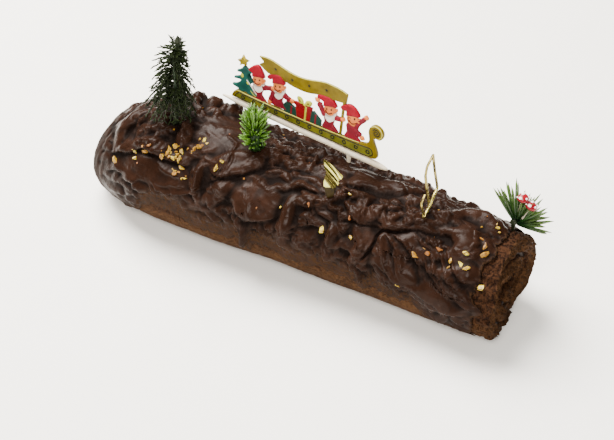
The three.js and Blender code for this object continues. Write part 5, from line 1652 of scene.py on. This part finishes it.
def make_gnome(name, face, cap, arms, bearded, turned):
    """A plain gnome in a pointed cap."""
    gnome = Pick(TOPPER_AXES)
    s, h = face

    def at(points):
        return [(s + px, h + py) for px, py in points]

    gnome.cut(catmull(at(GNOME_COAT), 3), BACK, 0.8, DARK_RED, 0.5, 3)
    for arm in arms:
        sleeve, hand = at(arm[:-1]), at(arm[-1:])[0]
        widths = [3.8] + [3.2] * (len(sleeve) - 1)
        gnome.cut(catmull(limb(sleeve, widths), 3), BACK, 1.05, DARK_RED, 0.6, 3)
        way = unit(np.subtract(hand, sleeve[-1]))
        thumb = (hand[0] + way[0] * 1.4 - way[1] * 0.8, hand[1] + way[1] * 1.4 + way[0] * 0.8, 0.3)
        gnome.dome((*hand, 0.2), (2.05, 1.9, 1.1), SKIN, 14, 7)
        gnome.dome(thumb, (0.8, 0.95, 0.7), SKIN, 8, 5)
    gnome.dome((s, h - 0.1, 0), (5.1, 5.6, 1.5), SKIN, 24, 10)
    gnome.dome((s + 0.2 + turned * 2.4, h - 0.5, 1.35), (0.8, 0.7, 0.5), SKIN, 10, 6)
    gnome.dome((s + 5.3, h + 1.8, 0.1), (1.0, 1.5, 0.8), SKIN, 10, 6)
    if turned:
        gnome.dome((s + 4.9, h + 0.2, 0.6), (1.2, 0.9, 0.8), SKIN, 10, 6)
        turns = np.linspace(0.8, 5.4, 9)
        ear = [(s - 2.0 + 1.3 * math.cos(a), h - 0.1 + 1.6 * math.sin(a), 1.4) for a in turns]
        gnome.tube(ear, 0.2, BROWN_LINE, 6)
    for px, py in ((2.0, 1.9),) if turned else ((-2.0, 0.5), (1.7, 1.4)):
        gnome.dome((s + px, h + py, 1.4), (0.66, 0.8, 0.34), LINE, 8, 5)
    smile = [(s + px + turned, h + py + 0.2 * turned, 1.5) for px, py in GNOME_SMILE]
    gnome.tube(catmull(smile, 3, False), 0.4, BROWN_LINE, 6)
    middle = s + turned * 2
    nose = [(middle + 0.1, h - 0.2, 1.42), (middle + 0.6, h - 0.7, 1.5), (middle + 0.1, h - 1.0, 1.42)]
    gnome.tube(nose, 0.17, BROWN_LINE, 6)
    if bearded:
        gnome.cut(catmull(at(GNOME_BEARD), 4), BACK, 1.0, BEARD, 0.4, 3)
    gnome.cut(catmull(at(gnome_cap(*cap)), 4), BACK, 1.5, RED_CLOTH, 0.8, 3)
    gnome.tube([(s + px, h + py, n) for px, py, n in CAP_FOLD], 0.28, WINE, 8)
    gnome.piece(name, "topper_paint", "topper_plaque")


def make_sledge():
    """The sledge's deck with its scroll, pale painted highlights along its upper rims, and the dark border
    with a ring at each rivet.
    """
    sledge = Pick(TOPPER_AXES)
    sledge.cut(catmull(SLEDGE_DECK, 4), BACK, DECK_FRONT, OLIVE_GOLD, 0.35, 2)
    # Painted highlight: pale lines along the upper rims of the deck and the scroll.
    sledge.tube(line_in(DECK_RIM, 3, DECK_FRONT - 0.15), 0.32, RIM_HIGHLIGHT, 6)
    sledge.tube(line_in(SCROLL_RIM, 4, DECK_FRONT - 0.1), 0.36, RIM_HIGHLIGHT, 8)
    field = catmull(DECK_BORDER, 3, False) + catmull(DECK_LOWER, 3, False)[::-1]
    sledge.cut(field, DECK_FRONT - 0.3, DECK_FRONT + 0.1, DECK_OLIVE, 0.05, 1)
    for line in (DECK_BORDER, DECK_LOWER):
        sledge.tube(line_in(line, 4, DECK_FRONT), 0.38, LINE, 6)
    for k in range(RIVETS):
        a, b = 18.6 + 9.55 * k, 6.0 + 0.012 * k * k
        turns = np.linspace(0, math.tau, 17)
        ring = [(a + 1.25 * math.cos(t), b + 1.3 * math.sin(t), DECK_FRONT + 0.1) for t in turns]
        sledge.tube(ring, 0.42, LINE, 6)
    curl = []
    for k in range(22):
        a = math.radians(150 - 30 * k)
        r = (3.7 - 0.15 * k) * 0.86
        curl.append((129.2 + r * math.cos(a), 24.9 + r * math.sin(a), DECK_FRONT))
    sledge.tube(curl, 0.4, LINE, 6)
    sledge.piece("sledge", "topper_paint", "topper_plaque")


def make_banner():
    banner = Pick(TOPPER_AXES)
    top, low = catmull(BANNER_TOP, 3, False), catmull(BANNER_LOW, 3, False)
    banner.cut([*top, *low, BANNER_NOTCH], -0.55, 0.55, OLIVE_GOLD, 0.25, 2)
    # Painted highlight: a pale line along the banner's upper rim.
    banner.tube([(a, b - 0.1, 0.35) for a, b in top[1:-1]], 0.28, RIM_HIGHLIGHT, 6)
    points = [(math.radians(90 + 36 * q), 0.62 if q % 2 else 1.5) for q in range(10)]
    for a, b in BANNER_STARS:
        banner.cut([(a + r * math.cos(t), b + r * math.sin(t)) for t, r in points], 0.3, 0.72, LINE, 0.1, 1)
    pole = limb([(100.3, 10.6), (101.2, 24), (102.2, 37.4)], [1.9, 1.8, 1.6])
    banner.cut(pole, -0.6, 0.8, OLIVE_GOLD, 0.4, 2)
    banner.piece("banner", "topper_paint", "topper_plaque")


def make_topper_tree():
    """The sledge's decorated fir with two baubles, two bands and a star."""
    tree = Pick(TOPPER_AXES)
    tree.cut(catmull(TREE_OUTLINE, 3), -0.7, 0.9, TEAL, 0.7, 3)
    tree.dome((17.5, 23.7, 0.7), (1.5, 1.9, 0.6), BOW, 14, 7)
    tree.dome((22.4, 19.3, 0.7), (1.1, 1.5, 0.6), BOW, 12, 7)
    tree.cut(limb([(21.4, 21.8), (25.6, 17.6), (30.2, 12.6)], [0.7, 0.9, 0.7]), 0.4, 1.0, BEARD, 0.15, 1)
    tree.cut(limb([(24.6, 14.0), (27.0, 12.0), (29.4, 10.8)], [0.5, 0.9, 0.5]), 0.4, 1.0, BOW, 0.15, 1)
    star = []
    for p, q in zip(TREE_STAR_TIPS, TREE_STAR_TIPS[1:] + TREE_STAR_TIPS[:1]):
        waist = [m + ((a + b) / 2 - m) * TREE_STAR_WAIST for a, b, m in zip(p, q, TREE_STAR_MIDDLE)]
        star += [p, waist]
    tree.cut(star, -0.7, 1.2, STAR_GOLD, 0.9, 3)
    tree.piece("topper_tree", "topper_paint", "topper_plaque")


def make_parcels():
    # Outline, back, front, finish, bevel and its steps.
    plates = [
        ([(53.4, 8.4), (65.2, 8.4), (65, 14.8), (59.6, 17.2), (55.4, 18.6), (52.8, 15)],
         BACK, 0.7, PARCEL_GREEN, 0.5, 3),
        ([(75.0, 8.4), (84.4, 8.4), (84.6, 14.6), (78.4, 19.8), (74.6, 18)],
         BACK, 0.7, PARCEL_GREEN, 0.5, 3),
        ([(64.6, 8.6), (75.4, 8.6), (77.0, 21.6), (63.0, 21.4)], BACK, 1.1, GIFT_RED, 0.6, 3),
        ([(62.6, 19.2), (77.1, 19.4), (77.3, 22.0), (62.4, 21.8)], 0, 1.3, GIFT_RED, 0.35, 2),
        (ribbon([(71.6, 8.8), (72.4, 21.6)], 1.5), 0.4, 1.45, BOW, 0.2, 2),
        (ribbon([(79.8, 9.0), (80.2, 18.0)], 1.3), 0, 0.85, WINE, 0.15, 2),
        (ribbon([(59.6, 9.0), (60.0, 16.6)], 1.3), 0, 0.85, WINE, 0.15, 2),
    ]
    parcels = Pick(TOPPER_AXES)
    for plate in plates:
        parcels.cut(*plate)
    for a, turn in ((67.2, 0.75), (74.0, -0.55)):
        parcels.dome((a, 24.4, 0.5), (3.3, 2.3, 1.0), BOW, 16, 8, -turn)
        parcels.dome((a, 24.5, 1.2), (1.5, 0.8, 0.5), OLIVE_GOLD, 10, 5, -turn)
    parcels.dome((70.9, 22.4, 0.8), (1.3, 1.1, 0.9), BOW, 10, 6)
    parcels.piece("parcels", "topper_paint", "topper_plaque")


def make_topper():
    make_bar()
    make_sledge()
    make_banner()
    make_topper_tree()
    make_parcels()
    for gnome in GNOMES:
        make_gnome(*gnome)


# ---------- gold picks ----------

LEAF_LINES = 41
LEAF_COLUMNS = 13
LEAF_HALF_THICK = 0.15
# The pleats slant: cosine and sine of their turn.
PLEAT_COS = 0.83
PLEAT_SIN = 0.558
LEAF_RIM = [
    (-3.7, 33.3), (-3.4, 29.0), (-3.3, 24.8), (-1.9, 23.2), (-2.8, 18.5), (-3.6, 13.2), (-3.6, 10.1),
    (-1.1, 8.1), (1.0, 6.6), (2.7, 8.5), (4.0, 8.6), (5.3, 11.8), (6.7, 13.7), (5.4, 15.2), (6.6, 16.7),
    (8.8, 19.1), (8.2, 21.4), (5.5, 22.0), (4.4, 24.2), (2.6, 27.5), (0.0, 30.1),
]
LEAF_STEM = [
    (-3.0, 11.0), (-2.8, 6.0), (-2.0, 2.0), (-0.9, -3.0), (-0.6, -PEG_DEPTH), (0.8, -PEG_DEPTH), (1.6, -3.0),
    (3.0, 2.0), (3.6, 6.0), (3.4, 11.0),
]

# Wires of the star: places across the log and up, width, and whether its ribs take the lightest foil, a
# painted highlight.
STAR_WIRES = [
    ([(14.6, 49.5), (19.2, 34.0), (25.4, 16.5)], 1.5, False),
    ([(14.6, 49.5), (6.4, 45.4), (5.0, 39.0), (13.0, 12.2)], 1.7, False),
    ([(25.4, 16.5), (13.0, 8.0), (5.6, 1.6)], 2.4, True),
    ([(6.0, 23.4), (1.1, 19.4), (5.6, 8.0), (5.4, 2.0)], 0.8, False),
    ([(5.6, 1.6), (1.6, -1.0)], 1.4, True),
]
RUNG_PITCH = 1.7


def make_gold_leaf():
    """A foil leaf in slanting pleats, its jagged side curled forward, on a brown foot."""
    out = unit(np.cross(ACROSS, UP))
    turned = [(PLEAT_COS * a + PLEAT_SIN * z, PLEAT_COS * z - PLEAT_SIN * a) for a, z in LEAF_RIM]
    first, last = min(p for p, _ in turned) + 0.05, max(p for p, _ in turned) - 0.05
    front, back, foil_highlight = [], [], []
    for k in range(LEAF_LINES):
        p = first + (last - first) * k / (LEAF_LINES - 1)
        crossed = [(a, b) for a, b in zip(turned, turned[1:] + turned[:1]) if (a[0] - p) * (b[0] - p) < 0]
        ends = [a[1] + (b[1] - a[1]) * (p - a[0]) / (b[0] - a[0]) for a, b in crossed]
        flat = float(smooth((7.4 - p) / 1.6))
        for m in range(LEAF_COLUMNS):
            q = min(ends) + (max(ends) - min(ends)) * m / (LEAF_COLUMNS - 1)
            a, z = PLEAT_COS * p - PLEAT_SIN * q, PLEAT_SIN * p + PLEAT_COS * q
            wave = (0.16 * k + 0.05 * math.sin(1.9 * k) + 0.012 * q * math.sin(0.8 * k)) % 1
            ridge = (1 - abs(2 * wave - 1)) * (1 - flat)
            lift = 1.1 * ridge - 0.5 + 1.6 * float(smooth((a - 3.2) / 5)) + 0.05 * (z - 6)
            at = LEAF_FOOT + ACROSS * a + UP * z
            front.append(at + out * (lift + LEAF_HALF_THICK))
            back.append(at + out * (lift - LEAF_HALF_THICK))
            # Painted highlight and reflection: the pleats' ridges, the jagged rim and the flat lower part
            # are made lighter in colour.
            rim_light = float(smooth((a - 4.4) / 1.5))
            foil_highlight.append(max(0.8 * flat, rim_light, ridge ** 1.5))
    count = LEAF_LINES * LEAF_COLUMNS
    faces = [*grid_faces(LEAF_LINES, LEAF_COLUMNS), *grid_faces(LEAF_LINES, LEAF_COLUMNS, count, True)]
    edge = boundary_of(LEAF_LINES, LEAF_COLUMNS)
    faces += [(b, a, a + count, b + count) for a, b in zip(edge, edge[1:] + edge[:1])]
    leaf = new_piece("gold_leaf_foil", front + back, faces, LEAF_FOIL, False, {"foil_highlight": foil_highlight * 2})
    finish_piece(leaf, "gold", "gold_leaf")
    stem = Pick((LEAF_FOOT, ACROSS, UP, out))
    stem.cut(catmull(LEAF_STEM, 3), -0.9, -0.2, AMBER, 0.3, 2)
    stem.piece("gold_leaf_stem", "gold", "gold_leaf")


def make_gold_star():
    """A tall openwork star of ribbed gold wire, standing across the log on its long foot."""
    star = Pick((STAR_FOOT, np.array([0.0, 1.0, 0.0]), UP, np.array([1.0, 0.0, 0.0])))
    for places, wide, lit in STAR_WIRES:
        # Painted highlight: the ribs are lighter copies of the wires' gold foil, lightest on the lit wires.
        ribs = RIB_HIGHLIGHT_FOIL if lit else RIB_SHEEN_FOIL
        for a, b in zip(places, places[1:]):
            a, b = np.array(a), np.array(b)
            star.cut(ribbon([a, b], wide), -0.5, 0.35, STAR_FOIL, 0.15, 1)
            sideways = unit((a[1] - b[1], b[0] - a[0])) * wide
            for share in (-0.42, 0.42):
                star.tube([(*(q + sideways * share), 0.4) for q in (a, b)], 0.3, ribs, 6)
            rungs = int(np.linalg.norm(b - a) / RUNG_PITCH)
            for m in range(1, rungs):
                q = a + (b - a) * m / rungs
                star.tube([(*(q + sideways * share), 0.42) for share in (-0.4, 0.4)], 0.2, ribs, 5)
        star.dome((*places[0], 0.2), (wide * 0.55, wide * 0.55, 0.6), ribs, 8, 5)
    star.tube([(0, -PEG_DEPTH, 0), (0.4, -2.5, 0), (1.6, -0.8, 0)], 0.7, STAR_FOIL, 8)
    star.piece("gold_star_frame", "gold", "gold_star")


# ---------- needle sprig with mushrooms ----------

SPRIG_UP = unit((-0.06, 0.34, 0.94))
SPRIG_FACE = unit(np.cross(ACROSS, SPRIG_UP))
SPRIG_NEEDLES = 64
# Length of the needles by their turn in degrees, from pointing right over pointing up to pointing left.
SPRIG_LENGTHS = [(-16, 26), (20, 24), (50, 26), (60, 24), (94, 29), (111, 32), (128, 34)]

# Mushrooms: name, node, millimetres to the right, up and forward from the sprig's foot, and lean.
MUSHROOMS = [
    ("mushroom_left", "mushroom_1", 1.0, 11.6, 4.0, 0.06),
    ("mushroom_right", "mushroom_2", 4.1, 7.4, 5.4, 0.36),
]
# Stalk: radius and height. Cap: share of its radius, and height.
STALK_OUTLINE = [(0, -1), (0.5, -0.9), (0.6, -0.4), (0.6, 5), (0.6, 9.4)]
CAP_OUTLINE = [
    (0.6, 9.3), (0.9, 9.6), (1, 10.3), (0.97, 11.1), (0.86, 12.0), (0.66, 12.8), (0.4, 13.35), (0.18, 13.55),
    (0, 13.6),
]
# White spots: share of the way down the cap, turn round it, radius.
CAP_SPOTS = [
    (0.2, 0.0, 1.2), (0.7, 0.4, 0.9), (0.74, 1.6, 1.3), (0.66, 2.9, 0.8), (0.78, 4.0, 1.2), (0.7, 5.2, 0.9),
    (1.0, 1.0, 0.6), (1.0, 3.5, 0.6),
]


def make_mushroom(name, node, right, up, face, lean):
    at = SPRIG_FOOT + ACROSS * right + SPRIG_UP * up + SPRIG_FACE * face
    way = unit(SPRIG_UP + ACROSS * lean + SPRIG_FACE * 0.35)
    outline = STALK_OUTLINE + [(share * CAP_RADIUS, z) for share, z in CAP_OUTLINE]
    mushroom = Pick()
    mushroom.lathe(outline, at, way, lambda j: STALK if j < len(STALK_OUTLINE) else CAP_RED)
    side, other = across_way(way)
    for share, turn, size in CAP_SPOTS:
        lat = share * 1.25
        round_cap = side * math.cos(turn) + other * math.sin(turn)
        spot = at + way * (10.3 + 3.1 * math.cos(lat)) + round_cap * CAP_RADIUS * 0.98 * math.sin(lat)
        mushroom.dome(spot, (size, size, 0.7), CAP_WHITE, 10, 6)
    mushroom.piece(name, "mushroom_red", node)


def make_sprig():
    """A fan of stiff needles out of a short stem, with two mushrooms in front of it."""
    draw = random.Random(19)
    rows = []
    for k in range(SPRIG_NEEDLES):
        degrees = -16 + 144 * (k + 0.5) / SPRIG_NEEDLES + draw.uniform(-5, 5)
        fan = math.radians(degrees)
        lean = 0.45 * ((k % 3) - 1) + draw.uniform(-0.2, 0.2)
        way = unit(ACROSS * math.cos(fan) + SPRIG_UP * math.sin(fan) + SPRIG_FACE * lean)
        length = along(SPRIG_LENGTHS, degrees) * draw.uniform(0.68, 1.02)
        place = SPRIG_FOOT + ACROSS * 1.6 + UP * 1.4 + way
        rows.append((place, way, (2.1, 2.1, length), draw.random() ** 1.4))
    needles = scatter("sprig_needles", needle_shape("sprig_needle", 4), PINE, rows, 9)
    finish_piece(needles, "needle_green", "pine_sprig")
    core = Pick()
    path = [SPRIG_FOOT + UP * rise for rise in (-PEG_DEPTH, 0, 3.0, 5.5)]
    core.tube(path, [1.1, 1.3, 2.5, 1.2], FIR_STEM, 10)
    core.piece("sprig_core", "needle_green", "pine_sprig")
    for row in MUSHROOMS:
        make_mushroom(*row)


# ---------- stage, light and camera ----------

def make_stage():
    mesh = bpy.data.meshes.new("floor")
    corners = [(-1, -1), (1, -1), (1, 1), (-1, 1)]
    mesh.from_pydata([(a * FLOOR_REACH, b * FLOOR_REACH, 0) for a, b in corners], [], [(0, 1, 2, 3)])
    cloth = Recipe("floor_cloth", (0.95, 0.935, 0.895), 0.95)
    cloth.paint(cloth.ramp(cloth.noise(60, 3), [(0.3, (0.94, 0.925, 0.885)), (0.7, (0.96, 0.945, 0.905))]))
    mesh.materials.append(cloth.surface(cloth.bump(cloth.noise(1.2, 2), 0.1, 0.25)))
    in_scene("floor", mesh)


def look_along(holder, way):
    """Turns a camera or a lamp to look along a way."""
    holder.rotation_mode = "QUATERNION"
    holder.rotation_quaternion = way.to_track_quat("-Z", "Y")


def add_softbox(name, place, size, power, colour):
    lamp = bpy.data.lights.new(name, "AREA")
    lamp.shape = "RECTANGLE"
    lamp.size, lamp.size_y = size
    lamp.energy = power
    lamp.color = colour
    holder = in_scene(name, lamp)
    holder.location = place
    look_along(holder, Vector(LIGHT_AIM) - Vector(place))


def make_light():
    world = bpy.data.worlds.new("studio")
    world.use_nodes = True
    background = world.node_tree.nodes["Background"]
    background.inputs["Color"].default_value = (*WORLD_COLOUR, 1)
    background.inputs["Strength"].default_value = WORLD_STRENGTH
    bpy.context.scene.world = world
    for softbox in SOFTBOXES:
        add_softbox(*softbox)


def make_camera():
    data = bpy.data.cameras.new("camera")
    data.sensor_width = 36
    data.lens = CAMERA_LENS
    data.clip_start, data.clip_end = 0.01, 50
    camera = in_scene("camera", data)
    a, e = math.radians(CAMERA_AZIMUTH), math.radians(CAMERA_ELEVATION)
    back = Vector((math.sin(a) * math.cos(e), -math.cos(a) * math.cos(e), math.sin(e)))
    camera.location = Vector(CAMERA_AIM) * MM + back * CAMERA_DISTANCE * MM
    look_along(camera, -back)
    bpy.context.scene.camera = camera


make_camera()
make_light()
make_stage()
make_coat()
make_sponge()
make_cream()
make_nuts()
make_fir()
make_small_fir()
make_topper()
make_gold_leaf()
make_gold_star()
make_sprig()

bpy.context.view_layer.update()
